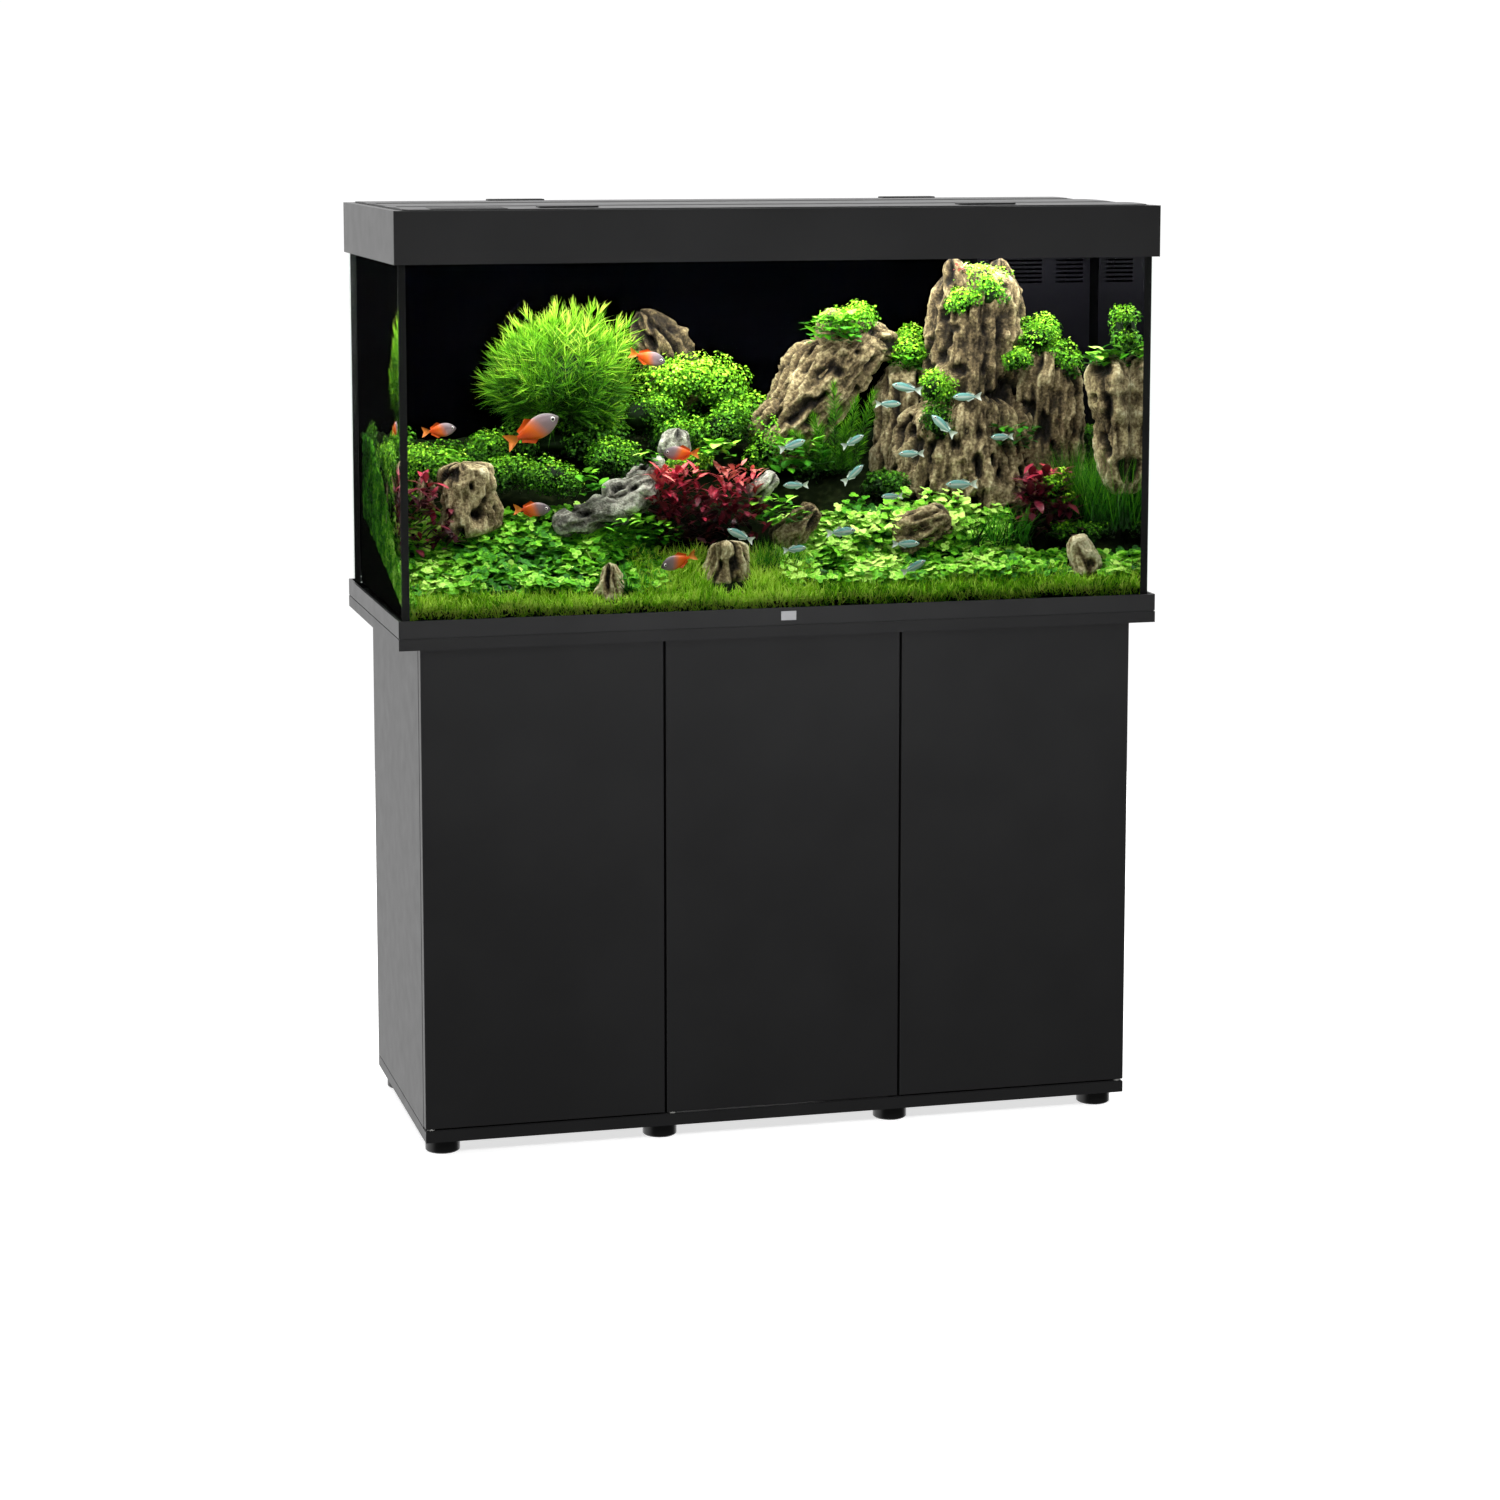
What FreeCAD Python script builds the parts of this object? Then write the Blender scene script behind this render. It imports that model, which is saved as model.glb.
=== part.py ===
import FreeCAD, Part
import math
import os

os.makedirs("parts", exist_ok=True)

# An aquarium on a three-door cabinet, in millimetres. +Z is up, the doors face -Y,
# and the origin lies on the ground under the middle of the lid.

# ---------------------------------------------------------------- driving dimensions
OVERALL_WIDTH = 1213.0  # slab, tank base frame and lid
OVERALL_DEPTH = 513.0
CABINET_WIDTH = 1142.0
CABINET_DEPTH = 470.0
BOARD = 19.0  # thickness of every cabinet board
FOOT_HEIGHT = 25.0
CABINET_TOP = 797.0  # underside of the slab
TANK_WIDTH = 1200.0  # outside of the glass
TANK_DEPTH = 500.0
PANE = 10.0
BOTTOM_PANE = 12.0
FRAME_HEIGHT = 26.0  # tank base frame
LID_BOTTOM = 1377.0
LID_RIM = 1457.0
LID_CROWN = 1460.0  # top of the crowned strips
SHELL = 4.0  # wall of the moulded frames
SLACK = 0.3  # between faces that pass each other

# ---------------------------------------------------------------- derived levels
BASE_TOP = FOOT_HEIGHT + BOARD
GROOVE = 1.5  # wide and deep, round the upper edges of the base and slab
SLAB_TOP = CABINET_TOP + BOARD
LEDGE = 10.0  # thickness of the ledge under the glass
GLASS_BASE = SLAB_TOP + LEDGE
FLOOR = GLASS_BASE + BOTTOM_PANE  # upper face of the bottom pane
GLASS_TOP = LID_BOTTOM + 20.0

HALF_W = OVERALL_WIDTH / 2
HALF_D = OVERALL_DEPTH / 2
CAB_X = CABINET_WIDTH / 2
CAB_Y = CABINET_DEPTH / 2
TANK_X = TANK_WIDTH / 2
TANK_Y = TANK_DEPTH / 2
INNER_X = TANK_X - PANE
INNER_Y = TANK_Y - PANE

V = FreeCAD.Vector
UP = V(0, 0, 1)


# ---------------------------------------------------------------- helpers
def box(x0, x1, y0, y1, z0, z1):
    """A block between two corners, whichever way round they are given."""
    lo = V(min(x0, x1), min(y0, y1), min(z0, z1))
    return Part.makeBox(abs(x1 - x0), abs(y1 - y0), abs(z1 - z0), lo)


def rod(radius, start, end):
    """A round bar from one point to another."""
    along = end.sub(start)
    return Part.makeCylinder(radius, along.Length, start, along)


def ring(half_x, half_y, wall, z0, z1, edge=0.0):
    """An upright rectangular band with its outside at half_x and half_y."""
    outer = box(-half_x, half_x, -half_y, half_y, z0, z1)
    if edge:
        outer = round_uprights(outer, edge)
    return outer.cut(
        box(-half_x + wall, half_x - wall, -half_y + wall, half_y - wall, z0 - 1, z1 + 1)
    )


def is_upright(edge):
    """True for a straight edge along Z."""
    ends = [v.Point for v in edge.Vertexes]
    return len(ends) == 2 and abs(abs(ends[1].z - ends[0].z) - edge.Length) < 1e-6


def round_uprights(shape, radius):
    """Rounds every vertical edge."""
    return shape.makeFillet(radius, [e for e in shape.Edges if is_upright(e)])


def break_edges(shape, size):
    """Takes a small chamfer off every edge of a block."""
    return shape.makeChamfer(size, shape.Edges)


def extrude_x(points, x0, x1):
    """Sweeps an outline of (y, z) points along X."""
    wire = Part.makePolygon([V(x0, y, z) for y, z in points + points[:1]])
    return Part.Face(wire).extrude(V(x1 - x0, 0, 0))


def turned(outline, at):
    """Turns an outline of (radius, z) points about the vertical axis through a point."""
    closed = outline + outline[:1]
    wire = Part.makePolygon([at.add(V(r, 0, z)) for r, z in closed])
    return Part.Face(wire).revolve(at, UP, 360)


def group(shapes):
    """Separate solids that share one node."""
    return Part.makeCompound(shapes)


def export(name, shape):
    shape.exportStep(f"parts/{name}.step")


# ---------------------------------------------------------------- cabinet
PARTITION_X = 190.5  # middle of each partition, and of the gap between two doors
DOOR_GAP = 4.0
DOOR_CLEAR = 2.5  # above and below a door
BACK_GAP = 3.5  # from a door's back to the board edges behind it
DOOR_FRONT = -CAB_Y
DOOR_BACK = DOOR_FRONT + BOARD
BOARD_FRONT = DOOR_BACK + BACK_GAP
UPRIGHTS = {  # node: the X of its middle, and the side that its cams are set in
    "side_panel_left": (-CAB_X + BOARD / 2, 1),
    "partition_left": (-PARTITION_X, -1),
    "partition_right": (PARTITION_X, 1),
    "side_panel_right": (CAB_X - BOARD / 2, -1),
}
CAM_Y = (-150.0, 170.0)
CAM_REACH = 24.0  # from a board's end to its cam
CAM_RADIUS = 7.5
CAM_DEPTH = 12.5
BOLT_RADIUS = 3.0
BOLT_HOLE = 4.0
BOLT_BITE = 11.0  # depth of a bolt in the base or the slab
SLOT_HALF = 5.0  # driver slot across a cam's open face
SLOT_NARROW = 0.8
SLOT_DEPTH = 1.5
SHELF_Z = 400.0
SHELF_FRONT_GAP = 14.0
SHELF_BACK_GAP = 12.0
SHELF_PIN_RADIUS = 2.5
SHELF_PIN_DEPTH = 8.0
SHELF_PIN_REACH = 7.5  # out of the board, under the shelf
SHELF_PIN_Y = (-160.0, 180.0)
SHELF_PIN_Z = SHELF_Z - SHELF_PIN_RADIUS
BACK_BOARD = 8.0
COMPARTMENTS = (  # the left and right compartments' inner faces
    (-CAB_X + BOARD, -PARTITION_X - BOARD / 2),
    (PARTITION_X + BOARD / 2, CAB_X - BOARD),
)
FOOT_X = (-537.0, -190.0, 190.0, 537.0)
FOOT_Y = (-188.0, 188.0)
FOOT_RADIUS = 27.0
SCREW_RADIUS = 3.0
SCREW_HEAD = 6.5
SCREW_SEAT = 10.0  # height of the shoulder that the screw's head pulls on
SCREW_HEAD_HEIGHT = 4.0
SCREW_TOP = BASE_TOP - 4.0


def cam_places():
    """Each cam's board, Y, and the Z of its board end with the way out of that end."""
    for node in UPRIGHTS:
        for y in CAM_Y:
            yield node, y, BASE_TOP, -1
            yield node, y, CABINET_TOP, 1


def cam_axis(node, y, end_z, out):
    """The middle of a cam's open face, and the way into the board from there."""
    x, side = UPRIGHTS[node]
    return V(x + side * BOARD / 2, y, end_z - out * CAM_REACH), V(-side, 0, 0)


def cam_bolt(node, y, end_z, out, radius, to_cam):
    """A bolt's round bar, or its hole, from inside the base or slab to the cam."""
    x = UPRIGHTS[node][0]
    return rod(radius, V(x, y, end_z + out * BOLT_BITE), V(x, y, end_z - out * to_cam))


def cabinet_uprights():
    """Side panels and partitions, with their cam pockets and shelf pin holes."""
    boards = {}
    for node, (x, _side) in UPRIGHTS.items():
        boards[node] = box(x - BOARD / 2, x + BOARD / 2, BOARD_FRONT, CAB_Y, BASE_TOP, CABINET_TOP)
    for place in cam_places():
        start, inward = cam_axis(*place)
        pocket = Part.makeCylinder(CAM_RADIUS, CAM_DEPTH, start, inward)
        drilling = cam_bolt(*place, BOLT_HOLE, CAM_REACH)
        boards[place[0]] = boards[place[0]].cut(pocket).cut(drilling)
    for x, y, inward in shelf_pin_places():
        for node, (middle, _side) in UPRIGHTS.items():
            if abs(middle - x) < BOARD:
                hole = Part.makeCylinder(SHELF_PIN_RADIUS, SHELF_PIN_DEPTH, V(x, y, SHELF_PIN_Z), inward)
                boards[node] = boards[node].cut(hole)
    return boards


def cams():
    """Round cam locks, each notched for its bolt's end and slotted for a driver."""
    made = []
    for place in cam_places():
        start, inward = cam_axis(*place)
        lock = Part.makeCylinder(CAM_RADIUS, CAM_DEPTH, start, inward)
        slot = box(
            start.x - SLOT_DEPTH, start.x + SLOT_DEPTH, start.y - SLOT_HALF, start.y + SLOT_HALF,
            start.z - SLOT_NARROW, start.z + SLOT_NARROW,
        )
        notch = cam_bolt(*place, BOLT_HOLE, CAM_REACH)
        made.append(lock.cut(slot).cut(notch))
    return group(made)


def cam_bolts():
    return group([cam_bolt(*place, BOLT_RADIUS, CAM_REACH - 1.0) for place in cam_places()])


def shelf_pin_places():
    """Where each shelf pin meets its board, and the way into the board."""
    for left, right in COMPARTMENTS:
        for y in SHELF_PIN_Y:
            yield left, y, V(-1, 0, 0)
            yield right, y, V(1, 0, 0)


def shelf_pins():
    pins = []
    for x, y, inward in shelf_pin_places():
        face = V(x, y, SHELF_PIN_Z)
        inner_end = face.sub(inward * SHELF_PIN_REACH)
        pins.append(rod(SHELF_PIN_RADIUS, face.add(inward * SHELF_PIN_DEPTH), inner_end))
    return group(pins)


def shelves():
    front = BOARD_FRONT + SHELF_FRONT_GAP
    back = CAB_Y - BACK_BOARD - SHELF_BACK_GAP
    return group(
        [box(x0 + 1, x1 - 1, front, back, SHELF_Z, SHELF_Z + BOARD) for x0, x1 in COMPARTMENTS]
    )


def back_panels():
    """A thin back in each outer compartment; the middle one stays open for hoses."""
    return group(
        [box(x0, x1, CAB_Y - BACK_BOARD, CAB_Y, BASE_TOP, CABINET_TOP) for x0, x1 in COMPARTMENTS]
    )


def foot_places():
    return [V(x, y, 0) for x in FOOT_X for y in FOOT_Y]


def feet():
    """Round glides, counterbored from below for their screws."""
    outline = [
        (SCREW_HEAD + 1.5, 0),
        (FOOT_RADIUS - 2, 0),
        (FOOT_RADIUS, 2),
        (FOOT_RADIUS, FOOT_HEIGHT - 5),
        (FOOT_RADIUS - 2, FOOT_HEIGHT - 3),
        (FOOT_RADIUS - 2, FOOT_HEIGHT),
        (SCREW_RADIUS + 0.3, FOOT_HEIGHT),
        (SCREW_RADIUS + 0.3, SCREW_SEAT),
        (SCREW_HEAD + 1.5, SCREW_SEAT),
    ]
    return group([turned(outline, at) for at in foot_places()])


def foot_screws():
    made = []
    for at in foot_places():
        head = rod(SCREW_HEAD, at.add(V(0, 0, SCREW_SEAT - SCREW_HEAD_HEIGHT)), at.add(V(0, 0, SCREW_SEAT)))
        shank = rod(SCREW_RADIUS, at.add(V(0, 0, SCREW_SEAT - 1)), at.add(V(0, 0, SCREW_TOP)))
        made.append(head.fuse(shank))
    return group(made)


# ---------------------------------------------------------------- doors
PIVOT_IN = 9.0  # pivot axis from the door's hinge edge
PIVOT_BACK = 7.0  # pivot axis behind the door's front face
PIVOT_RADIUS = 2.5
BUSH_BORE = PIVOT_RADIUS + 0.05
BUSH_RADIUS = 4.0
BUSH_LENGTH = 10.0
FLANGE_RADIUS = 6.0
PLATE_LENGTH = 36.0
PLATE_INSET = 2.0
PLATE = 3.0
DOOR_BOTTOM = BASE_TOP + DOOR_CLEAR
DOOR_TOP = CABINET_TOP - DOOR_CLEAR
LATCH_IN = 42.0  # latch axis from the door's free edge
LATCH_Z = DOOR_TOP - 12.5
STRIKE_RADIUS = 9.0
STRIKE = 2.0
PLUNGER_RADIUS = 4.0
PLUNGER_BORE = PLUNGER_RADIUS + 0.05
LATCH_FRONT = BOARD_FRONT + 8.0
LATCH_LENGTH = 65.0
LATCH_HALF = 9.0
LATCH_END_WALL = 8.0
PLUNGER_TAIL = 45.0  # length of the plunger inside its housing
DOOR_EDGE = 0.6  # chamfer
MIDDLE = PARTITION_X - DOOR_GAP / 2
OUTER = PARTITION_X + DOOR_GAP / 2
DOORS = {  # door: its hinge edge and its free edge
    "left": (-CAB_X, -OUTER),
    "middle": (-MIDDLE, MIDDLE),
    "right": (CAB_X, OUTER),
}


def pivot_at(name):
    """A door's pivot axis, on the ground."""
    hinge, free = DOORS[name]
    inward = math.copysign(PIVOT_IN, free - hinge)
    return V(hinge + inward, DOOR_FRONT + PIVOT_BACK, 0)


def latch_x(name):
    hinge, free = DOORS[name]
    return free - math.copysign(LATCH_IN, free - hinge)


def plate_blank(name, z0, z1):
    """The block that a pivot plate fills in the door's edge."""
    hinge, free = DOORS[name]
    inward = math.copysign(1.0, free - hinge)
    x0 = hinge + inward * PLATE_INSET
    x1 = x0 + inward * PLATE_LENGTH
    return box(x0, x1, DOOR_FRONT + PLATE_INSET, DOOR_BACK - PLATE_INSET, z0, z1)


def strike_blank(name):
    start = V(latch_x(name), DOOR_BACK - STRIKE, LATCH_Z)
    return Part.makeCylinder(STRIKE_RADIUS, STRIKE, start, V(0, 1, 0))


def door(name):
    """A plain slab door, let in for its pivot plates and strike."""
    hinge, free = DOORS[name]
    slab = break_edges(box(hinge, free, DOOR_FRONT, DOOR_BACK, DOOR_BOTTOM, DOOR_TOP), DOOR_EDGE)
    slab = slab.cut(plate_blank(name, DOOR_BOTTOM - 1, DOOR_BOTTOM + PLATE))
    slab = slab.cut(plate_blank(name, DOOR_TOP - PLATE, DOOR_TOP + 1))
    return slab.cut(strike_blank(name))


def door_pivots(name):
    """The lower and upper pivot plates, each with its pin."""
    at = pivot_at(name)
    reach = BUSH_LENGTH - 2.0
    lower = plate_blank(name, DOOR_BOTTOM, DOOR_BOTTOM + PLATE)
    low_pin = rod(PIVOT_RADIUS, at.add(V(0, 0, BASE_TOP - reach)), at.add(V(0, 0, DOOR_BOTTOM + 1)))
    upper = plate_blank(name, DOOR_TOP - PLATE, DOOR_TOP)
    top_pin = rod(PIVOT_RADIUS, at.add(V(0, 0, DOOR_TOP - 1)), at.add(V(0, 0, CABINET_TOP + reach)))
    return group([lower.fuse(low_pin), upper.fuse(top_pin)])


def pivot_bushes():
    """Plain bushes in the base and slab; the lower ones have a flange that carries the door."""
    made = []
    for name in DOORS:
        at = pivot_at(name)
        flange_top = DOOR_BOTTOM - SLACK
        lower = rod(BUSH_RADIUS, at.add(V(0, 0, BASE_TOP - BUSH_LENGTH)), at.add(V(0, 0, flange_top)))
        flange = rod(FLANGE_RADIUS, at.add(V(0, 0, BASE_TOP)), at.add(V(0, 0, flange_top)))
        upper = rod(BUSH_RADIUS, at.add(V(0, 0, CABINET_TOP)), at.add(V(0, 0, CABINET_TOP + BUSH_LENGTH)))
        bore = rod(BUSH_BORE, at.add(V(0, 0, BASE_TOP - BUSH_LENGTH - 1)), at.add(V(0, 0, SLAB_TOP)))
        made += [lower.fuse(flange).cut(bore), upper.cut(bore)]
    return group(made)


def latch_bodies():
    """Push latch housings, fixed under the slab."""
    made = []
    for name in DOORS:
        x = latch_x(name)
        case = box(
            x - LATCH_HALF, x + LATCH_HALF, LATCH_FRONT, LATCH_FRONT + LATCH_LENGTH,
            LATCH_Z - LATCH_HALF, CABINET_TOP,
        )
        start = V(x, LATCH_FRONT - 1, LATCH_Z)
        bore = Part.makeCylinder(PLUNGER_BORE, LATCH_LENGTH - LATCH_END_WALL, start, V(0, 1, 0))
        made.append(case.cut(bore))
    return group(made)


def latch_plunger(name):
    """The round bar that a door presses in, just short of the strike."""
    x = latch_x(name)
    tail = LATCH_FRONT + PLUNGER_TAIL
    return rod(PLUNGER_RADIUS, V(x, DOOR_BACK + SLACK, LATCH_Z), V(x, tail, LATCH_Z))


def joint_line(half_x, half_y, top):
    """The waste round a board's upper edge that leaves a fine groove under what stands on it."""
    return ring(half_x + 1, half_y + 1, GROOVE + 1, top - GROOVE, top + 1)


def base_plate():
    """The cabinet's bottom board, grooved round its top and drilled for screws, bolts and bushes."""
    plate = box(-CAB_X, CAB_X, -CAB_Y, CAB_Y, FOOT_HEIGHT, BASE_TOP)
    plate = plate.cut(joint_line(CAB_X, CAB_Y, BASE_TOP))
    for at in foot_places():
        plate = plate.cut(rod(SCREW_RADIUS, at, at.add(V(0, 0, SCREW_TOP))))
    for place in cam_places():
        if place[3] < 0:
            plate = plate.cut(cam_bolt(*place, BOLT_RADIUS, CAM_REACH))
    for name in DOORS:
        at = pivot_at(name)
        seat = at.add(V(0, 0, BASE_TOP - BUSH_LENGTH))
        plate = plate.cut(rod(BUSH_RADIUS, seat, at.add(V(0, 0, SLAB_TOP))))
    return plate


def top_panel():
    """The slab under the tank, grooved round its top and drilled from below for bolts and bushes."""
    slab = box(-HALF_W, HALF_W, -HALF_D, HALF_D, CABINET_TOP, SLAB_TOP)
    slab = slab.cut(joint_line(HALF_W, HALF_D, SLAB_TOP))
    for place in cam_places():
        if place[3] > 0:
            slab = slab.cut(cam_bolt(*place, BOLT_RADIUS, CAM_REACH))
    for name in DOORS:
        at = pivot_at(name)
        slab = slab.cut(rod(BUSH_RADIUS, at, at.add(V(0, 0, CABINET_TOP + BUSH_LENGTH))))
    return slab


# ---------------------------------------------------------------- tank
LEDGE_WIDTH = 40.0
BADGE_WIDTH = 24.0
BADGE_HEIGHT = 14.0
BADGE_DEPTH = 1.0
BADGE_AT = V(2.0, -HALF_D, SLAB_TOP + 13.5)
SEAM = 1.0  # silicone between two panes
BEAD = 3.0  # silicone fillet in a corner
FILM = 0.8
FILM_INSET = 3.0
EDGE_ROUNDING = 1.5  # on the upright corners of the moulded frames


def badge_blank(slack):
    half_w = BADGE_WIDTH / 2 + slack
    half_h = BADGE_HEIGHT / 2 + slack
    x, y, z = BADGE_AT
    return box(x - half_w, x + half_w, y, y + BADGE_DEPTH, z - half_h, z + half_h)


def tank_base_frame():
    """The moulded frame that the glass stands in."""
    wall = ring(HALF_W, HALF_D, SHELL, SLAB_TOP, SLAB_TOP + FRAME_HEIGHT, EDGE_ROUNDING)
    ledge = ring(HALF_W - 1, HALF_D - 1, LEDGE_WIDTH, SLAB_TOP, GLASS_BASE)
    return wall.fuse(ledge).removeSplitter().cut(badge_blank(0.2))


def panes():
    """The five panes: the front and back cover the ends of the sides."""
    side_y = INNER_Y - SEAM
    made = {"glass_bottom": box(-TANK_X, TANK_X, -TANK_Y, TANK_Y, GLASS_BASE, FLOOR)}
    for node, way in (("glass_front", -1), ("glass_back", 1)):
        made[node] = box(-TANK_X, TANK_X, way * INNER_Y, way * TANK_Y, FLOOR, GLASS_TOP)
    for node, way in (("glass_left", -1), ("glass_right", 1)):
        made[node] = box(way * INNER_X, way * TANK_X, -side_y, side_y, FLOOR, GLASS_TOP)
    return {node: break_edges(pane, 0.5) for node, pane in made.items()}


def silicone_seams():
    """Black seams: one in each upright corner, with its inner bead."""
    made = []
    for way_x in (-1, 1):
        for way_y in (-1, 1):
            outline = [
                (TANK_X - 1, INNER_Y),
                (INNER_X - BEAD, INNER_Y),
                (INNER_X, INNER_Y - SEAM - BEAD),
                (INNER_X, INNER_Y - SEAM),
                (TANK_X - 1, INNER_Y - SEAM),
            ]
            corners = [V(way_x * x, way_y * y, FLOOR) for x, y in outline]
            wire = Part.makePolygon(corners + corners[:1])
            made.append(Part.Face(wire).extrude(V(0, 0, GLASS_TOP - FLOOR)))
    return group(made)


def background_film():
    """Black film on the outside of the back pane."""
    half = TANK_X - FILM_INSET
    low = SLAB_TOP + FRAME_HEIGHT + FILM_INSET
    return box(-half, half, TANK_Y, TANK_Y + FILM, low, LID_BOTTOM - 2)


# ---------------------------------------------------------------- lid
STRIP_X = 590.0  # half length of the flaps and of the light cover
FLAP_EDGE = 244.5  # outer edge of a flap, front and back
FRONT_HINGE = -105.0  # Y of each flap's hinge axis
REAR_HINGE = 98.0
HINGE_Z = 1456.0
BARREL = 4.0
PIN_RADIUS = 1.5
PIN_HOLE = PIN_RADIUS + 0.05
BARREL_GAP = 0.5
LIP_TOP = 1454.0  # the flaps and the light cover rest here
FLAP_BASE = LIP_TOP + SLACK
LUGS = ((-577.0, -565.0), (-6.0, 6.0), (565.0, 577.0))  # spans along X
CROWN_RISE = 1.5  # from a strip's edges to the middle of its top
CORNER = 9.0  # taken off a flap's outer corners
GRIP_X = 333.0
GRIP_WIDTH = 93.0
GRIP_Y = (190.0, 224.0)
GRIP_SEAT = 1457.5
GRIP_TOP = 1462.0
HATCH = (-548.0, -430.0, -238.0, -190.0)  # x0, x1, y0, y1
HATCH_SEAT = 1456.5
HATCH_RIM = 4.5  # width of the seat round the hatch's opening
GROMMET_X = (430.0, 500.0)
GROMMET_Z = 1428.0
GROMMET_RADIUS = 9.0
CABLE_RADIUS = 5.0
SEAT_WIDTH = 23.5  # ring that sits on the glass
SEAT_HEIGHT = 4.0
RIM_WIDTH = 9.0
LIP_WIDTH = 17.5
LIP_HEIGHT = 4.0
END_RIM_X = 592.5  # inner edges of the rim and the lip at the strips' ends
END_LIP_X = 578.0


def lid_frame():
    """The moulded frame round the top of the glass."""
    wall = ring(HALF_W, HALF_D, SHELL, LID_BOTTOM, LID_RIM, EDGE_ROUNDING)
    half_x = HALF_W - 1
    half_y = HALF_D - 1
    lip_base = LIP_TOP - LIP_HEIGHT
    seat = ring(half_x, half_y, SEAT_WIDTH, GLASS_TOP, GLASS_TOP + SEAT_HEIGHT)
    rim = ring(half_x, half_y, RIM_WIDTH, LIP_TOP, LID_RIM)
    lip = ring(half_x, half_y, LIP_WIDTH, lip_base, LIP_TOP)
    frame = wall.fuse([seat, rim, lip])
    for way in (-1, 1):  # the wider rim and lip at each end of the strips
        frame = frame.fuse(box(way * END_RIM_X, way * half_x, -half_y, half_y, LIP_TOP, LID_RIM))
        frame = frame.fuse(box(way * END_LIP_X, way * half_x, -half_y, half_y, lip_base, LIP_TOP))
    for x in GROMMET_X:
        frame = frame.cut(rod(GROMMET_RADIUS, V(x, HALF_D - 6, GROMMET_Z), V(x, HALF_D + 1, GROMMET_Z)))
    return frame.removeSplitter()


def cable_grommets():
    """Rubber grommets in the lid's back wall for the leads of the light and the pump."""
    made = []
    inner = HALF_D - SHELL
    for x in GROMMET_X:
        sleeve = rod(GROMMET_RADIUS, V(x, inner - 2.5, GROMMET_Z), V(x, HALF_D, GROMMET_Z))
        flange = rod(GROMMET_RADIUS + 3, V(x, inner - 2.5, GROMMET_Z), V(x, inner, GROMMET_Z))
        hole = rod(CABLE_RADIUS, V(x, inner - 4, GROMMET_Z), V(x, HALF_D + 1, GROMMET_Z))
        made.append(sleeve.fuse(flange).cut(hole))
    return group(made)


def crowned_strip(y0, y1, z0, edge_z, crown_z):
    """A long strip with a slightly arched top."""
    arch = Part.Arc(V(-STRIP_X, y0, edge_z), V(-STRIP_X, (y0 + y1) / 2, crown_z), V(-STRIP_X, y1, edge_z))
    sides = Part.makePolygon(
        [V(-STRIP_X, y1, edge_z), V(-STRIP_X, y1, z0), V(-STRIP_X, y0, z0), V(-STRIP_X, y0, edge_z)]
    )
    section = Part.Face(Part.Wire([arch.toShape()] + sides.Edges))
    return section.extrude(V(2 * STRIP_X, 0, 0))


def corner_cut(shape, y, way):
    """Takes the two plan corners off the side of a strip that lies at y."""
    for end in (-1, 1):
        low = LIP_TOP - 5
        corners = [
            V(end * (STRIP_X - CORNER), y, low),
            V(end * STRIP_X, y - way * CORNER, low),
            V(end * (STRIP_X + 1), y + way, low),
        ]
        wire = Part.makePolygon(corners + corners[:1])
        shape = shape.cut(Part.Face(wire).extrude(V(0, 0, GRIP_TOP - low)))
    return shape


def hinge_lug(hinge_y, edge_y, span):
    """One of the light cover's knuckles round a hinge pin."""
    eye = rod(BARREL, V(span[0], hinge_y, HINGE_Z), V(span[1], hinge_y, HINGE_Z))
    neck = box(span[0], span[1], hinge_y, edge_y, HINGE_Z - BARREL / 2, HINGE_Z + BARREL / 2)
    return eye.fuse(neck)


def pin_hole(hinge_y):
    return rod(PIN_HOLE, V(-STRIP_X - 1, hinge_y, HINGE_Z), V(STRIP_X + 1, hinge_y, HINGE_Z))


def light_cover():
    """The fixed middle strip, which carries both flaps' hinge pins."""
    y0 = FRONT_HINGE + BARREL + BARREL_GAP
    y1 = REAR_HINGE - BARREL - BARREL_GAP
    strip = crowned_strip(y0, y1, LIP_TOP, LID_CROWN - CROWN_RISE, LID_CROWN)
    for span in LUGS:
        strip = strip.fuse(hinge_lug(FRONT_HINGE, y0 + 1, span))
        strip = strip.fuse(hinge_lug(REAR_HINGE, y1 - 1, span))
    return strip.cut(pin_hole(FRONT_HINGE)).cut(pin_hole(REAR_HINGE))


def flap(hinge_y, way):
    """A flap with its hinge barrels; way is -1 at the front and +1 at the back."""
    near = hinge_y + way * (BARREL + BARREL_GAP)
    far = way * FLAP_EDGE
    plate = crowned_strip(min(near, far), max(near, far), FLAP_BASE, LID_CROWN - CROWN_RISE, LID_CROWN)
    plate = corner_cut(plate, far, way)
    for (_a, start), (end, _b) in zip(LUGS[:-1], LUGS[1:]):
        x0, x1 = start + BARREL_GAP, end - BARREL_GAP
        barrel = rod(BARREL, V(x0, hinge_y, HINGE_Z), V(x1, hinge_y, HINGE_Z))
        web = box(x0, x1, hinge_y, near + way, FLAP_BASE, HINGE_Z + 2)
        plate = plate.fuse(barrel).fuse(web)
    plate = plate.cut(pin_hole(hinge_y))
    for x in (-GRIP_X, GRIP_X):
        half = GRIP_WIDTH / 2 + 0.2
        seat = box(x - half, x + half, way * (GRIP_Y[0] - 0.2), way * (GRIP_Y[1] + 0.2), GRIP_SEAT, GRIP_TOP)
        plate = plate.cut(seat)
    return plate


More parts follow.
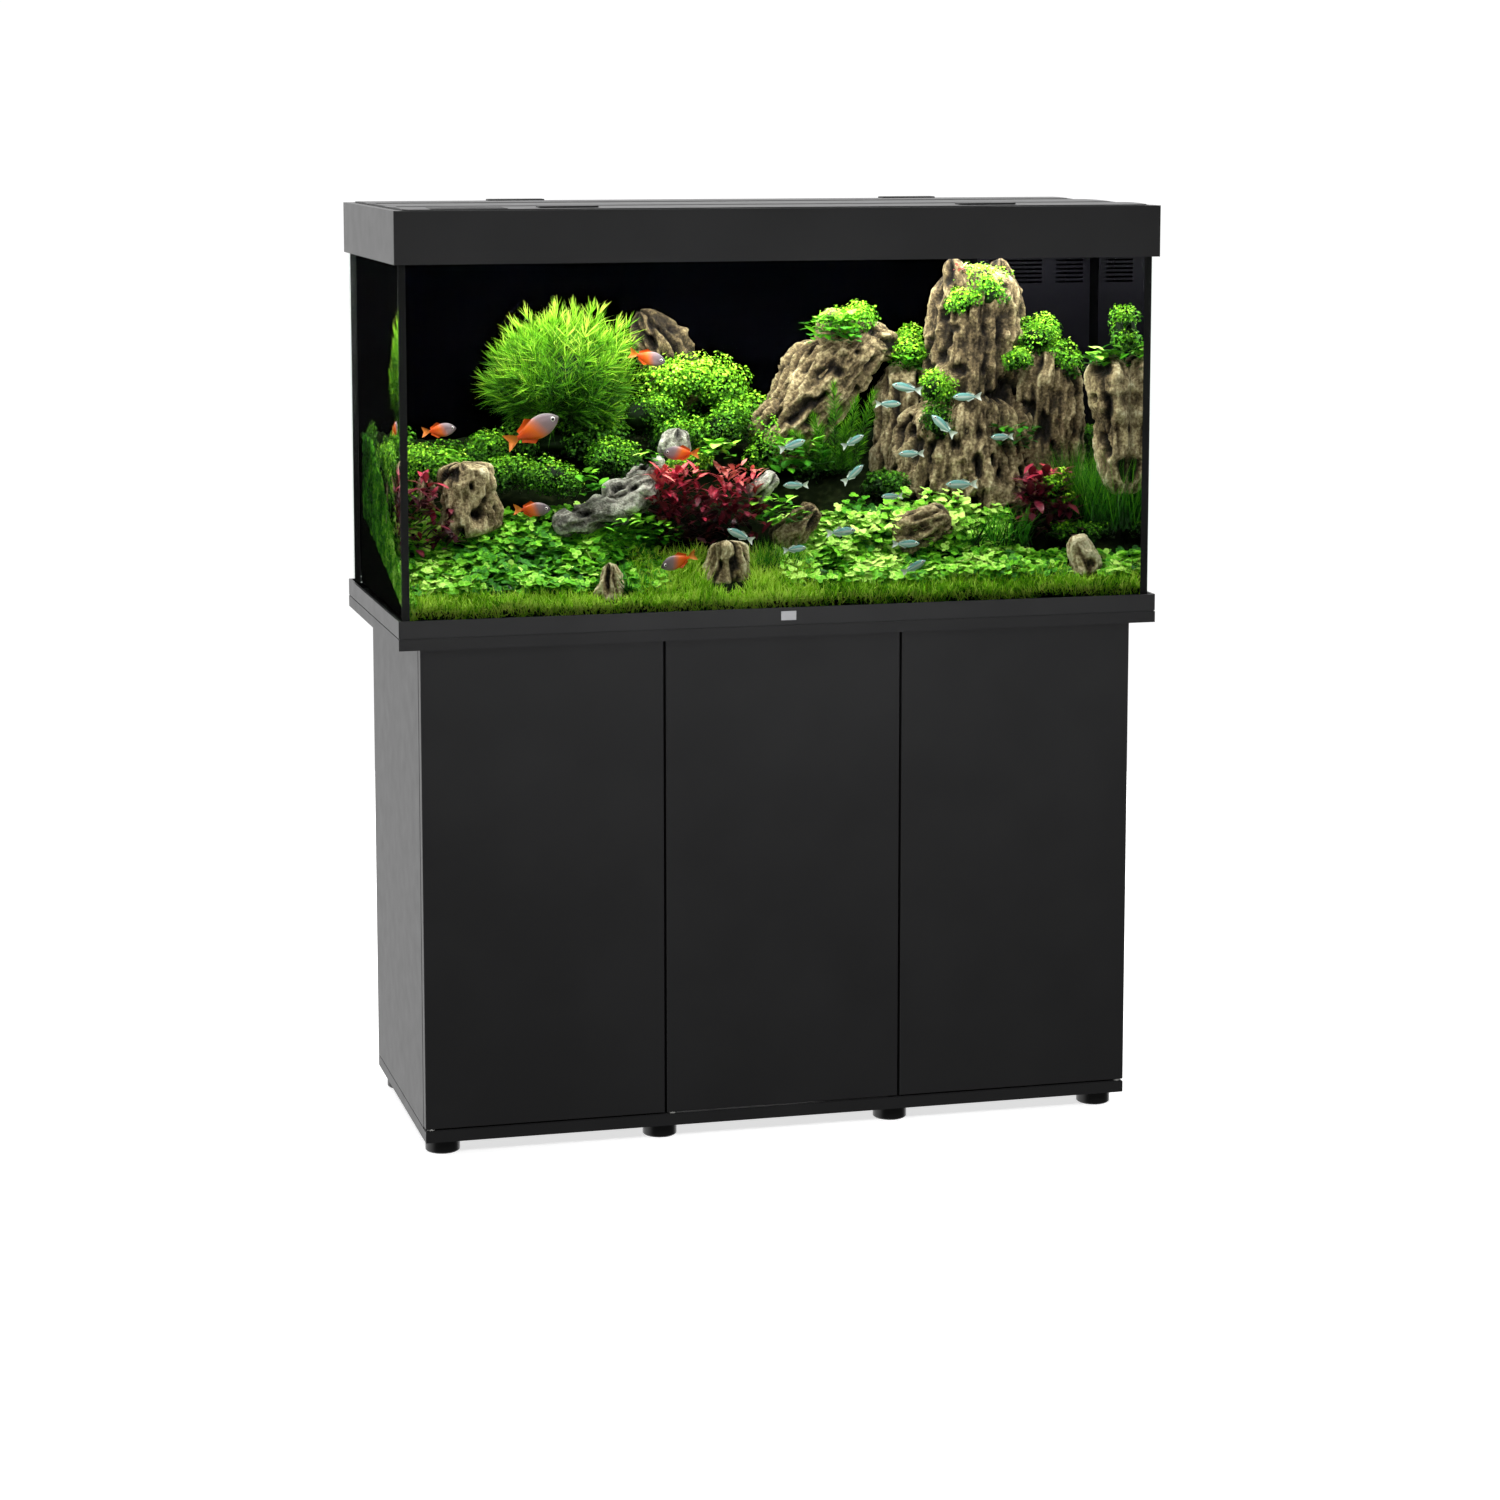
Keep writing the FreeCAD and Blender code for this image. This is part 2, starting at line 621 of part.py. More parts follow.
def front_flap():
    """The front flap, with the opening that the feeding hatch closes."""
    x0, x1, y0, y1 = HATCH
    plate = flap(FRONT_HINGE, -1)
    plate = plate.cut(box(x0, x1, y0, y1, HATCH_SEAT, GRIP_TOP))
    return plate.cut(
        box(x0 + HATCH_RIM, x1 - HATCH_RIM, y0 + HATCH_RIM, y1 - HATCH_RIM, FLAP_BASE - 1, GRIP_TOP)
    )


def feeding_hatch():
    """The plug over the feeding opening, which lifts straight out."""
    x0, x1, y0, y1 = HATCH
    inset = HATCH_RIM + SLACK
    cap = box(x0 + SLACK, x1 - SLACK, y0 + SLACK, y1 - SLACK, HATCH_SEAT + 0.05, LID_CROWN - 0.5)
    spigot = box(x0 + inset, x1 - inset, y0 + inset, y1 - inset, FLAP_BASE, HATCH_SEAT + 1)
    return cap.fuse(spigot).removeSplitter()


def grips(way):
    """Two raised finger grips on a flap."""
    made = []
    for x in (-GRIP_X, GRIP_X):
        half = GRIP_WIDTH / 2
        pad = box(x - half, x + half, way * GRIP_Y[0], way * GRIP_Y[1], GRIP_SEAT, GRIP_TOP)
        pad = round_uprights(pad, 8.0)
        top = [e for e in pad.Edges if all(abs(v.Z - GRIP_TOP) < 1e-6 for v in e.Vertexes)]
        made.append(pad.makeFillet(1.5, top))
    return group(made)


def flap_hinge_pins():
    ends = LUGS[0][0], LUGS[-1][1]
    return group(
        [rod(PIN_RADIUS, V(ends[0], y, HINGE_Z), V(ends[1], y, HINGE_Z)) for y in (FRONT_HINGE, REAR_HINGE)]
    )


# ---------------------------------------------------------------- light
LIGHT_X = 598.0
LIGHT_Y = 48.0
LIGHT_BASE = GLASS_TOP + SEAT_HEIGHT
LIGHT_TOP = LIGHT_BASE + 36.0
LIGHT_WALL = 3.0
TUBE_RADIUS = 10.0
TUBE_Y = 22.0
TUBE_Z = LIGHT_BASE + 12.0
CAP_DEPTH = 30.0
SOCKET = 10.0


def light_bar():
    """An inverted channel that rests on the lid frame's end seats."""
    shell = box(-LIGHT_X, LIGHT_X, -LIGHT_Y, LIGHT_Y, LIGHT_BASE, LIGHT_TOP)
    inner_y = LIGHT_Y - LIGHT_WALL
    top = LIGHT_TOP - LIGHT_WALL
    return shell.cut(box(-LIGHT_X - 1, LIGHT_X + 1, -inner_y, inner_y, LIGHT_BASE - 1, top))


def tube_bar(radius, reach):
    return [rod(radius, V(-reach, y, TUBE_Z), V(reach, y, TUBE_Z)) for y in (-TUBE_Y, TUBE_Y)]


def led_tubes():
    return group(tube_bar(TUBE_RADIUS, LIGHT_X - CAP_DEPTH + SOCKET))


def light_end_caps():
    """Moulded ends with a socket for each tube."""
    inner_y = LIGHT_Y - LIGHT_WALL
    made = []
    for way in (-1, 1):
        inner_x = way * (LIGHT_X - CAP_DEPTH)
        cap = box(inner_x, way * LIGHT_X, -inner_y, inner_y, LIGHT_BASE, LIGHT_TOP - LIGHT_WALL)
        for socket in tube_bar(TUBE_RADIUS + 0.1, LIGHT_X - CAP_DEPTH + SOCKET + 0.5):
            cap = cap.cut(socket)
        made.append(cap)
    return group(made)


# ---------------------------------------------------------------- filter
FILTER_X = (388.0, 582.0)
FILTER_Y = (82.0, 231.5)
FILTER_Z = (846.0, 1372.0)
FILTER_WALL = 3.0
DIVIDER_X = 511.0  # between the sponges' chamber and the heater's
SPONGE = 96.0  # height of one sponge
SPONGE_COUNT = 3
INTAKE_Z = 1325.0  # lowest intake slot
INTAKE_PITCH = 7.0
INTAKE_HEIGHT = 3.5
INTAKE_COUNT = 6
PUMP_DECK = 1160.0
DECK_HOLE_RADIUS = 10.0
DECK_HOLE_IN = 25.0  # from the chamber's walls
PUMP = (418.0, 493.0, 120.0, 198.0, 1250.0)  # x0, x1, y0, y1, top
NOZZLE = V(463.0, 0.0, 1208.0)  # the outlet's axis runs along Y
NOZZLE_RADIUS = 9.0
NOZZLE_BORE = 4.5
VENT_COUNT = 5  # slots across the pump's top
VENT_START = 14.0
VENT_PITCH = 10.0
VENT_WIDTH = 5.0
VENT_DEPTH = 12.0
HEATER = V(546.0, 157.0, 0.0)
HEATER_RADIUS = 12.0
HEATER_FOOT = 100.0  # height of the foot, of the glass above it and of the cap
HEATER_GLASS = 300.0
HEATER_CAP = 40.0


def filter_box():
    """The tall box in the rear right corner, open at the top, with intake slots."""
    x0, x1 = FILTER_X
    y0, y1 = FILTER_Y
    z0, z1 = FILTER_Z
    shell = box(x0, x1, y0, y1, z0, z1)
    for left, right in ((x0 + FILTER_WALL, DIVIDER_X), (DIVIDER_X + FILTER_WALL, x1 - FILTER_WALL)):
        hollow = box(left, right, y0 + FILTER_WALL, y1 - FILTER_WALL, z0 + FILTER_WALL, z1 + 1)
        shell = shell.cut(hollow)
    for step in range(INTAKE_COUNT):
        z = INTAKE_Z + INTAKE_PITCH * step
        for left, right in ((x0 + 20, DIVIDER_X - 12), (DIVIDER_X + 12, x1 - 12)):
            shell = shell.cut(box(left, right, y0 - 1, y0 + FILTER_WALL + 1, z, z + INTAKE_HEIGHT))
    deck = box(x0 + 1, DIVIDER_X + 1, y0 + 1, y1 - 1, PUMP_DECK - 4, PUMP_DECK)
    for x in (x0 + DECK_HOLE_IN, DIVIDER_X + 1 - DECK_HOLE_IN):
        for y in (y0 + DECK_HOLE_IN, y1 - DECK_HOLE_IN):
            deck = deck.cut(rod(DECK_HOLE_RADIUS, V(x, y, PUMP_DECK - 5), V(x, y, PUMP_DECK + 1)))
    port = rod(NOZZLE_RADIUS + 1.5, V(NOZZLE.x, y0 - 1, NOZZLE.z), V(NOZZLE.x, y0 + 5, NOZZLE.z))
    return shell.fuse(deck).removeSplitter().cut(port)


def filter_sponges():
    z0 = FILTER_Z[0] + FILTER_WALL
    made = []
    for step in range(SPONGE_COUNT):
        low = z0 + step * SPONGE
        made.append(box(FILTER_X[0] + 5, DIVIDER_X - 2, FILTER_Y[0] + 5, FILTER_Y[1] - 5, low, low + SPONGE))
    return group(made)


def pump_body():
    """The pump on its deck, with a socket that the nozzle turns in."""
    x0, x1, y0, y1, top = PUMP
    case = round_uprights(box(x0, x1, y0, y1, PUMP_DECK, top), 12.0)
    for step in range(VENT_COUNT):
        x = x0 + VENT_START + VENT_PITCH * step
        case = case.cut(box(x, x + VENT_WIDTH, y0 - 1, y1 + 1, top - VENT_DEPTH, top + 1))
    socket_end = V(NOZZLE.x, y0 + 20, NOZZLE.z)
    return case.cut(rod(NOZZLE_RADIUS + 0.05, V(NOZZLE.x, y0 - 1, NOZZLE.z), socket_end))


def pump_nozzle():
    """A turning elbow: a spigot along Y and a flat bill that blows towards -X."""
    back = PUMP[2] + 18.0
    front = FILTER_Y[0] - 26.0
    spigot = rod(NOZZLE_RADIUS, V(NOZZLE.x, front, NOZZLE.z), V(NOZZLE.x, back, NOZZLE.z))
    bill = box(NOZZLE.x - 34, NOZZLE.x, front, front + 18, NOZZLE.z - 8, NOZZLE.z + 8)
    mouth = box(NOZZLE.x - 35, NOZZLE.x + 3, front + 5, front + 13, NOZZLE.z - 5, NOZZLE.z + 5)
    bore = rod(NOZZLE_BORE, V(NOZZLE.x, front + 9, NOZZLE.z), V(NOZZLE.x, back + 1, NOZZLE.z))
    return spigot.fuse(bill).removeSplitter().cut(mouth).cut(bore)


def heater():
    """A glass heater on a moulded foot and cap, standing in its own chamber."""
    floor = FILTER_Z[0] + FILTER_WALL
    shoulder = floor + HEATER_FOOT
    neck = shoulder + HEATER_GLASS
    tube = rod(HEATER_RADIUS, HEATER.add(V(0, 0, shoulder)), HEATER.add(V(0, 0, neck)))
    foot = rod(HEATER_RADIUS + 4, HEATER.add(V(0, 0, floor)), HEATER.add(V(0, 0, shoulder + 1)))
    cap = rod(HEATER_RADIUS + 2, HEATER.add(V(0, 0, neck - 1)), HEATER.add(V(0, 0, neck + HEATER_CAP)))
    return tube.fuse([foot, cap])


# ---------------------------------------------------------------- aquascape
GRAVEL = [(-239.5, 858), (-170, 880), (-110, 925), (-60, 975), (20, 1020), (100, 1060), (239.5, 1080)]
BURIED = 18.0  # how far a stone or a plant's foot reaches into the gravel
# x, y, width, depth, top, top width as a share of the foot's
TOWER = (
    (356, 0, 300, 150, 1130, 0.60),
    (350, -5, 165, 120, 1352, 0.72),
    (480, 5, 120, 100, 1195, 0.70),
)
ARCH = (128, 45, 130, 90, 1280, 1.10)
PEAK = (-133, 130, 150, 90, 1274, 0.45)
EDGE_ROCK = (556, -115, 58, 74, 1200, 0.80)
MIDDLE_ROCKS = (
    (-479, -80, 84, 56, 1066, 0.6),
    (-231, -84, 104, 52, 1037, 0.6),
    (-132, -34, 73, 44, 1118, 0.6),
    (246, -140, 76, 50, 973, 0.6),
)
FRONT_ROCKS = (
    (-268, -200, 44, 34, 910, 0.6),
    (-80, -172, 79, 44, 938, 0.6),
    (505, -180, 51, 36, 930, 0.6),
)
GREEN_PLANTS = (
    (-308, 55, 190, 130, 1292, 0.9),
    (-66, 38, 200, 60, 1216, 0.7),
    (-340, -62, 120, 56, 1076, 0.7),
    (-500, 70, 100, 110, 1090, 0.7),
    (60, -75, 110, 60, 1096, 0.7),
    (120, -20, 100, 30, 1172, 0.8),
)
RED_PLANTS = (
    (-150, -118, 80, 54, 1052, 0.9),
    (-50, -112, 88, 50, 1058, 0.9),
    (454, -118, 118, 56, 1034, 0.9),
    (-550, -118, 54, 50, 1048, 0.9),
)
FISH_OUTLINE = ((-1, 0), (-0.6, 0.5), (0.0, 1.0), (0.5, 0.9), (1, 0))  # shares of the half length and girth
FISH_ORANGE = (  # x, y, z, heading about Z, nose-up tilt, length
    (-516, -60, 1116, 8, 5, 56),
    (-383, -150, 1118, 12, 24, 96),
    (-183, -40, 1223, -10, -14, 60),
    (-143, -120, 1076, 175, 2, 58),
    (-386, -160, 998, -6, 0, 58),
    (-162, -200, 916, 186, -16, 61),
)
FISH_BLUE = (
    (30, -150, 1085, 12, 15, 48),
    (131, -140, 1089, 10, 25, 42),
    (222, -130, 1170, 172, 12, 50),
    (195, -110, 1145, -8, 0, 42),
    (225, -150, 1068, 175, 0, 42),
    (285, -120, 1109, 170, 42, 51),
    (383, -120, 1089, 188, 0, 40),
    (329, -100, 1153, 178, 0, 48),
    (304, -170, 1019, 174, 0, 52),
    (129, -150, 1038, 10, 38, 45),
    (34, -160, 1024, 175, 0, 41),
    (189, -170, 1003, 182, 0, 36),
    (101, -190, 951, 5, 4, 50),
    (205, -200, 930, -5, 0, 45),
    (24, -200, 927, 8, 5, 40),
    (217, -205, 893, 6, 25, 45),
    (-62, -196, 951, 170, 25, 46),
)


def gravel_height(y):
    """The height of the gravel's surface at a depth into the tank."""
    for (y0, z0), (y1, z1) in zip(GRAVEL[:-1], GRAVEL[1:]):
        if y0 <= y <= y1:
            return z0 + (z1 - z0) * (y - y0) / (y1 - y0)
    return GRAVEL[-1][1]


def hexagon(x, y, z, half_x, half_y):
    corners = []
    for step in range(6):
        turn = math.radians(60 * step + 12)
        corners.append(V(x + half_x * math.cos(turn), y + half_y * math.sin(turn), z))
    return Part.makePolygon(corners + corners[:1])


def mound(x, y, width, depth, top, share):
    """A plain six-sided heap from just under the gravel up to its top."""
    foot = gravel_height(y - depth / 2) - BURIED
    waist = (foot + top) / 2
    wires = [
        hexagon(x, y, foot, width / 2, depth / 2),
        hexagon(x, y, waist, width / 2 * (1 + share) / 2, depth / 2 * (1 + share) / 2),
        hexagon(x, y, top, width / 2 * share, depth / 2 * share),
    ]
    return Part.makeLoft(wires, True, True)


def mounds(places):
    return [mound(*place) for place in places]


def rock_tower():
    """The tall rock: a broad foot, a pillar and a spur."""
    foot, pillar, spur = mounds(TOWER)
    return foot.fuse([pillar, spur]).removeSplitter()


def gravel_bed(buried):
    """Gravel rising to the back, round everything that stands in it."""
    base = FLOOR + BEAD + 1
    outline = [(GRAVEL[0][0], base)] + GRAVEL + [(GRAVEL[-1][0], base)]
    bed = extrude_x(outline, -INNER_X + 0.5, INNER_X - 0.5)
    bead = BEAD + SEAM + 1
    for x in (-INNER_X, INNER_X - bead):
        for y in (-INNER_Y, INNER_Y - bead):
            bed = bed.cut(box(x, x + bead, y, y + bead, FLOOR, LID_BOTTOM))
    tank_floor = box(-INNER_X + bead, INNER_X - bead, -INNER_Y + bead, INNER_Y - bead, FLOOR, base + 1)
    bed = bed.fuse(tank_floor)
    bed = bed.cut(box(FILTER_X[0] - 1, INNER_X + 1, FILTER_Y[0] - 1, INNER_Y + 1, FLOOR - 1, LID_BOTTOM))
    for shape in buried:
        bed = bed.cut(shape)
    return bed.removeSplitter()


def fish(x, y, z, heading, tilt, length):
    """A plain spindle along the way that the fish swims."""
    half, girth = length / 2, length / 7
    points = [V(half * along, 0, girth * out) for along, out in FISH_OUTLINE]
    wire = Part.makePolygon(points + points[:1])
    body = Part.Face(wire).revolve(V(0, 0, 0), V(1, 0, 0), 360)
    body.rotate(V(0, 0, 0), V(0, 1, 0), -tilt)
    body.rotate(V(0, 0, 0), V(0, 0, 1), heading)
    body.translate(V(x, y, z))
    return body


# ---------------------------------------------------------------- the nodes
def cabinet_nodes():
    nodes = cabinet_uprights()
    nodes.update(
        base_plate=base_plate(),
        top_panel=top_panel(),
        back_panels=back_panels(),
        shelves=shelves(),
        shelf_pins=shelf_pins(),
        feet=feet(),
        foot_screws=foot_screws(),
        cam_locks=cams(),
        cam_bolts=cam_bolts(),
        pivot_bushes=pivot_bushes(),
        latch_bodies=latch_bodies(),
    )
    for name in DOORS:
        nodes[f"door_{name}"] = door(name)
        nodes[f"door_{name}_pivots"] = door_pivots(name)
        nodes[f"door_{name}_strike"] = strike_blank(name)
        nodes[f"latch_plunger_{name}"] = latch_plunger(name)
    return nodes


def tank_nodes():
    nodes = panes()
    nodes.update(
        tank_base_frame=tank_base_frame(),
        badge=badge_blank(0.0),
        silicone_seams=silicone_seams(),
        background_film=background_film(),
        lid_frame=lid_frame(),
        light_cover=light_cover(),
        front_flap=front_flap(),
        rear_flap=flap(REAR_HINGE, 1),
        front_flap_grips=grips(-1),
        rear_flap_grips=grips(1),
        feeding_hatch=feeding_hatch(),
        flap_hinge_pins=flap_hinge_pins(),
        cable_grommets=cable_grommets(),
        light_bar=light_bar(),
        led_tubes=led_tubes(),
        light_end_caps=light_end_caps(),
        filter_box=filter_box(),
        filter_sponges=filter_sponges(),
        pump_body=pump_body(),
        pump_nozzle=pump_nozzle(),
        heater=heater(),
    )
    return nodes


def scape_nodes():
    tower = rock_tower()
    rocks = mounds((ARCH, PEAK, EDGE_ROCK) + MIDDLE_ROCKS + FRONT_ROCKS)
    green = mounds(GREEN_PLANTS)
    red = mounds(RED_PLANTS)
    return {
        "gravel": gravel_bed([tower] + rocks + green + red),
        "rock_tower": tower,
        "rocks": group(rocks),
        "green_plants": group(green),
        "red_plants": group(red),
        "fish_orange": group([fish(*place) for place in FISH_ORANGE]),
        "fish_blue": group([fish(*place) for place in FISH_BLUE]),
    }


for make in (cabinet_nodes, tank_nodes, scape_nodes):
    for node_name, node_shape in make().items():
        export(node_name, node_shape)
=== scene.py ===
"""The looks of an aquarium on a three-door cabinet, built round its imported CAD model. Metres, +Z up."""

import itertools
import math

import bpy
import numpy as np
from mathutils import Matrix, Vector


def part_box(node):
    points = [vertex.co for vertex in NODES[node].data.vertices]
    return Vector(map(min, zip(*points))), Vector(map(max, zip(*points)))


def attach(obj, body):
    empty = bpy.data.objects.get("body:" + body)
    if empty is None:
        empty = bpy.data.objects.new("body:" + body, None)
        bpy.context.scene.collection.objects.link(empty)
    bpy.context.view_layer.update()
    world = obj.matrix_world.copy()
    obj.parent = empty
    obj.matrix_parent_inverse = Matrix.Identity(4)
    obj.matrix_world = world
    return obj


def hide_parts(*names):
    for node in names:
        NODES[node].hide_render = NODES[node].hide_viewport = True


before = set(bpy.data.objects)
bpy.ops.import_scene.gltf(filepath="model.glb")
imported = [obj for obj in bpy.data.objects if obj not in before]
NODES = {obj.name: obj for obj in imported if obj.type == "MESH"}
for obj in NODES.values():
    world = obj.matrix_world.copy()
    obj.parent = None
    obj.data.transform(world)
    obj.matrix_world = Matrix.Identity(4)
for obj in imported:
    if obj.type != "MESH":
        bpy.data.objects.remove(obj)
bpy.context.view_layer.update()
ROOT = "tank_and_cabinet"
TURN = 2 * math.pi

# The inside of the glass, and the space under the lid.
TANK_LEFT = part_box("glass_left")[1].x
TANK_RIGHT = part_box("glass_right")[0].x
TANK_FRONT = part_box("glass_front")[1].y
TANK_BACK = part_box("glass_back")[0].y
TANK_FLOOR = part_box("glass_bottom")[1].z
LID_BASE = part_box("lid_frame")[0].z
WATER_TOP = LID_BASE + 0.009
GAP = 0.0002  # between the water and the panes


# ---------------------------------------------------------------- noise
def noise(points, size, seed):
    """Smooth noise from -1 to 1 with lumps of a size in metres, one size or one for each axis."""
    place = np.asarray(points, float) / np.asarray(size, float) + 31.7 * seed
    cell = np.floor(place).astype(np.int64)
    part = place - cell
    part = part * part * (3 - 2 * part)
    total = np.zeros(len(place))
    for corner in itertools.product((0, 1), repeat=3):
        mixed = (cell + corner) @ np.array([73856093, 19349663, 83492791])
        mixed = ((mixed ^ (mixed >> 13)) * 1274126177) & 0x7FFFFFFF
        value = ((mixed ^ (mixed >> 15)) & 0xFFFF) / 32767.5 - 1
        total += value * np.prod(np.where(corner, part, 1 - part), axis=1)
    return total


def rough_noise(points, size, seed, octaves=4):
    """Noise with finer and finer lumps added."""
    total = np.zeros(len(points))
    reach = 0.0
    for step in range(octaves):
        share = 0.5**step
        total += share * noise(points, np.asarray(size) / 2**step, seed + step)
        reach += share
    return total / reach


def unit(vectors):
    return vectors / np.maximum(np.linalg.norm(vectors, axis=-1, keepdims=True), 1e-9)


def full_turn(count):
    """Even angles once round."""
    return np.linspace(0, TURN, count, endpoint=False)


def pairs(rows, columns):
    """Every row value with every column value, as two flat arrays, row by row."""
    first, second = np.meshgrid(rows, columns, indexing="ij")
    return first.ravel(), second.ravel()


# ---------------------------------------------------------------- meshes
class Heap:
    """Triangles with a tone from 0 to 1 at each vertex, gathered from many small shapes."""

    def __init__(self):
        self.verts = []
        self.faces = []
        self.tones = []
        self.count = 0

    def add(self, verts, faces, tones):
        faces = np.asarray(faces)
        if faces.shape[1] == 4:
            faces = np.concatenate([faces[:, :3], faces[:, [0, 2, 3]]])
        self.verts.append(verts)
        self.faces.append(faces + self.count)
        self.tones.append(np.broadcast_to(tones, len(verts)))
        self.count += len(verts)

    def piece(self, name, material, replaced=(), smooth=True, inset=0.0008):
        """Makes the Blender object, which stays inside the glass and rides on the tank."""
        low = np.array([TANK_LEFT, TANK_FRONT, TANK_FLOOR]) + inset
        high = np.array([TANK_RIGHT, TANK_BACK, LID_BASE + 0.02]) - inset
        verts = np.clip(np.concatenate(self.verts), low, high).astype(np.float32)
        faces = np.concatenate(self.faces).astype(np.int32)
        mesh = bpy.data.meshes.new(name)
        mesh.vertices.add(len(verts))
        mesh.vertices.foreach_set("co", verts.ravel())
        mesh.loops.add(faces.size)
        mesh.loops.foreach_set("vertex_index", faces.ravel())
        mesh.polygons.add(len(faces))
        mesh.polygons.foreach_set("loop_start", np.arange(0, faces.size, 3, dtype=np.int32))
        mesh.polygons.foreach_set("use_smooth", np.full(len(faces), smooth))
        mesh.update(calc_edges=True)
        tone = mesh.attributes.new("tone", "FLOAT", "POINT")
        tone.data.foreach_set("value", np.concatenate(self.tones).astype(np.float32))
        mesh.materials.append(material)
        made = bpy.data.objects.new(name, mesh)
        bpy.context.scene.collection.objects.link(made)
        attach(made, ROOT)
        if replaced:
            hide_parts(*replaced)
        return made


def grid_faces(rows, columns, closed):
    """Quads between rows of points; closed joins each row's last point to its first."""
    row = np.arange(rows - 1)[:, None]
    column = np.arange(columns if closed else columns - 1)[None]
    after = (column + 1) % columns
    quads = [row * columns + column, row * columns + after]
    quads += [(row + 1) * columns + after, (row + 1) * columns + column]
    return np.stack(quads, axis=-1).reshape(-1, 4)


def add_tube(heap, rings, tones):
    """A closed skin over rings of points, an array of (rings, around, 3), with a point at each end."""
    rows, around = rings.shape[:2]
    ends = np.stack([rings[0].mean(axis=0), rings[-1].mean(axis=0)])
    quads = grid_faces(rows, around, True)
    sides = np.concatenate([quads[:, :3], quads[:, [0, 2, 3]]])
    turn = np.arange(around)
    after = (turn + 1) % around
    first = rows * around
    last = (rows - 1) * around
    start_fan = np.stack([np.full(around, first), after, turn], axis=1)
    end_fan = np.stack([np.full(around, first + 1), last + turn, last + after], axis=1)
    tones = np.broadcast_to(tones, (rows, around))
    end_tones = [tones[0].mean(), tones[-1].mean()]
    heap.add(
        np.concatenate([rings.reshape(-1, 3), ends]),
        np.concatenate([sides, start_fan, end_fan]),
        np.concatenate([tones.ravel(), end_tones]),
    )


def add_slab(heap, tops, lows, rows, columns, tones=(0.5, 0.5, 0.5)):
    """A closed body between two grids of points, with tones for its top, foot and sides."""
    faces = grid_faces(rows, columns, False)
    heap.add(tops, faces, tones[0])
    heap.add(lows, faces[:, ::-1], tones[1])
    rims = []
    for points in (tops, lows):
        sheet = points.reshape(rows, columns, 3)
        rims += [sheet[0, :], sheet[1:, -1], sheet[-1, -2::-1], sheet[-2:0:-1, 0]]
    skirt = np.concatenate(rims)
    heap.add(skirt, grid_faces(2, len(skirt) // 2, True)[:, ::-1], tones[2])


def frames(normals, spins):
    """Turns that stand a shape's Z axis along each normal, spun about it."""
    up = unit(normals)
    helper = np.where(np.abs(up[:, 2:]) < 0.9, [[0.0, 0.0, 1.0]], [[1.0, 0.0, 0.0]])
    side = unit(np.cross(helper, up))
    other = np.cross(up, side)
    cosine = np.cos(spins)[:, None]
    sine = np.sin(spins)[:, None]
    return np.stack([cosine * side + sine * other, cosine * other - sine * side, up], axis=2)


def spun(rng, normals):
    """Turns along each normal, spun by chance."""
    return frames(normals, rng.uniform(0, TURN, len(normals)))


def scatter(heap, shape, at, turns, sizes, tones):
    """Copies of a small shape, given as (points, triangles, tone of each point)."""
    points, triangles, shades = shape
    sizes = np.asarray(sizes, float)
    if sizes.ndim == 1:
        sizes = np.repeat(sizes[:, None], 3, axis=1)
    placed = np.einsum("nij,nmj->nmi", turns, points[None] * sizes[:, None]) + at[:, None]
    offsets = (np.arange(len(at)) * len(points))[:, None, None]
    all_tones = np.clip(np.asarray(tones)[:, None] + shades[None], 0, 1)
    heap.add(placed.reshape(-1, 3), (triangles[None] + offsets).reshape(-1, 3), all_tones.ravel())


def leaf_shape(widths, droop, fold=0.12, shade=0.12):
    """A leaf of unit length along X, folded along its middle rib, drooping towards its tip."""
    stations = np.linspace(0, 1, len(widths))
    points = []
    for along, width in zip(stations, widths):
        low = -droop * along**2
        edge = low + fold * width
        points += [(along, -width, edge), (along, 0, low), (along, width, edge)]
    faces = []
    for row in range(len(widths) - 1):
        a = 3 * row
        for side in (0, 1):
            first = a + side
            faces += [(first, first + 3, first + 4), (first, first + 4, first + 1)]
    shades = np.array([-shade, shade * 0.5, -shade * 0.3] * len(widths))
    return np.array(points, float), np.array(faces), shades


def disc_leaf(sides, cup=0.12):
    """A round leaf of unit radius that faces Z."""
    turn = full_turn(sides)
    rim = np.stack([np.cos(turn), np.sin(turn), np.full(sides, cup)], axis=1)
    points = np.concatenate([[[0, 0, 0]], rim])
    ring = np.arange(sides)
    faces = np.stack([np.zeros(sides, int), 1 + ring, 1 + (ring + 1) % sides], axis=1)
    # The middle of the cup is darker and the raised rim lighter: painted shade in the hollow and painted
    # light on the rim.
    return points, faces, np.concatenate([[-0.1], np.full(sides, 0.06)])


def blade_shape(bend):
    """A blade of grass of unit height and half width, bending along Y."""
    points = [(-1, 0, 0), (1, 0, 0), (-0.75, bend * 0.2, 0.5), (0.75, bend * 0.2, 0.5), (0, bend, 1)]
    faces = [(0, 1, 3), (0, 3, 2), (2, 3, 4)]
    # The foot of each blade is darker and its tip lighter: painted shade low among the blades and painted
    # light at the tip.
    return np.array(points, float), np.array(faces), np.array([-0.25, -0.25, 0.0, 0.0, 0.12])


OVAL_LEAF = leaf_shape((0.03, 0.24, 0.34, 0.27, 0.0), 0.25)
LONG_LEAF = leaf_shape((0.03, 0.14, 0.2, 0.14, 0.0), 0.3)
SMALL_LEAF = leaf_shape((0.05, 0.42, 0.0), 0.15, shade=0.08)
ROUND_LEAF = disc_leaf(6)
BLADE = blade_shape(0.35)
NEEDLE = blade_shape(0.2)


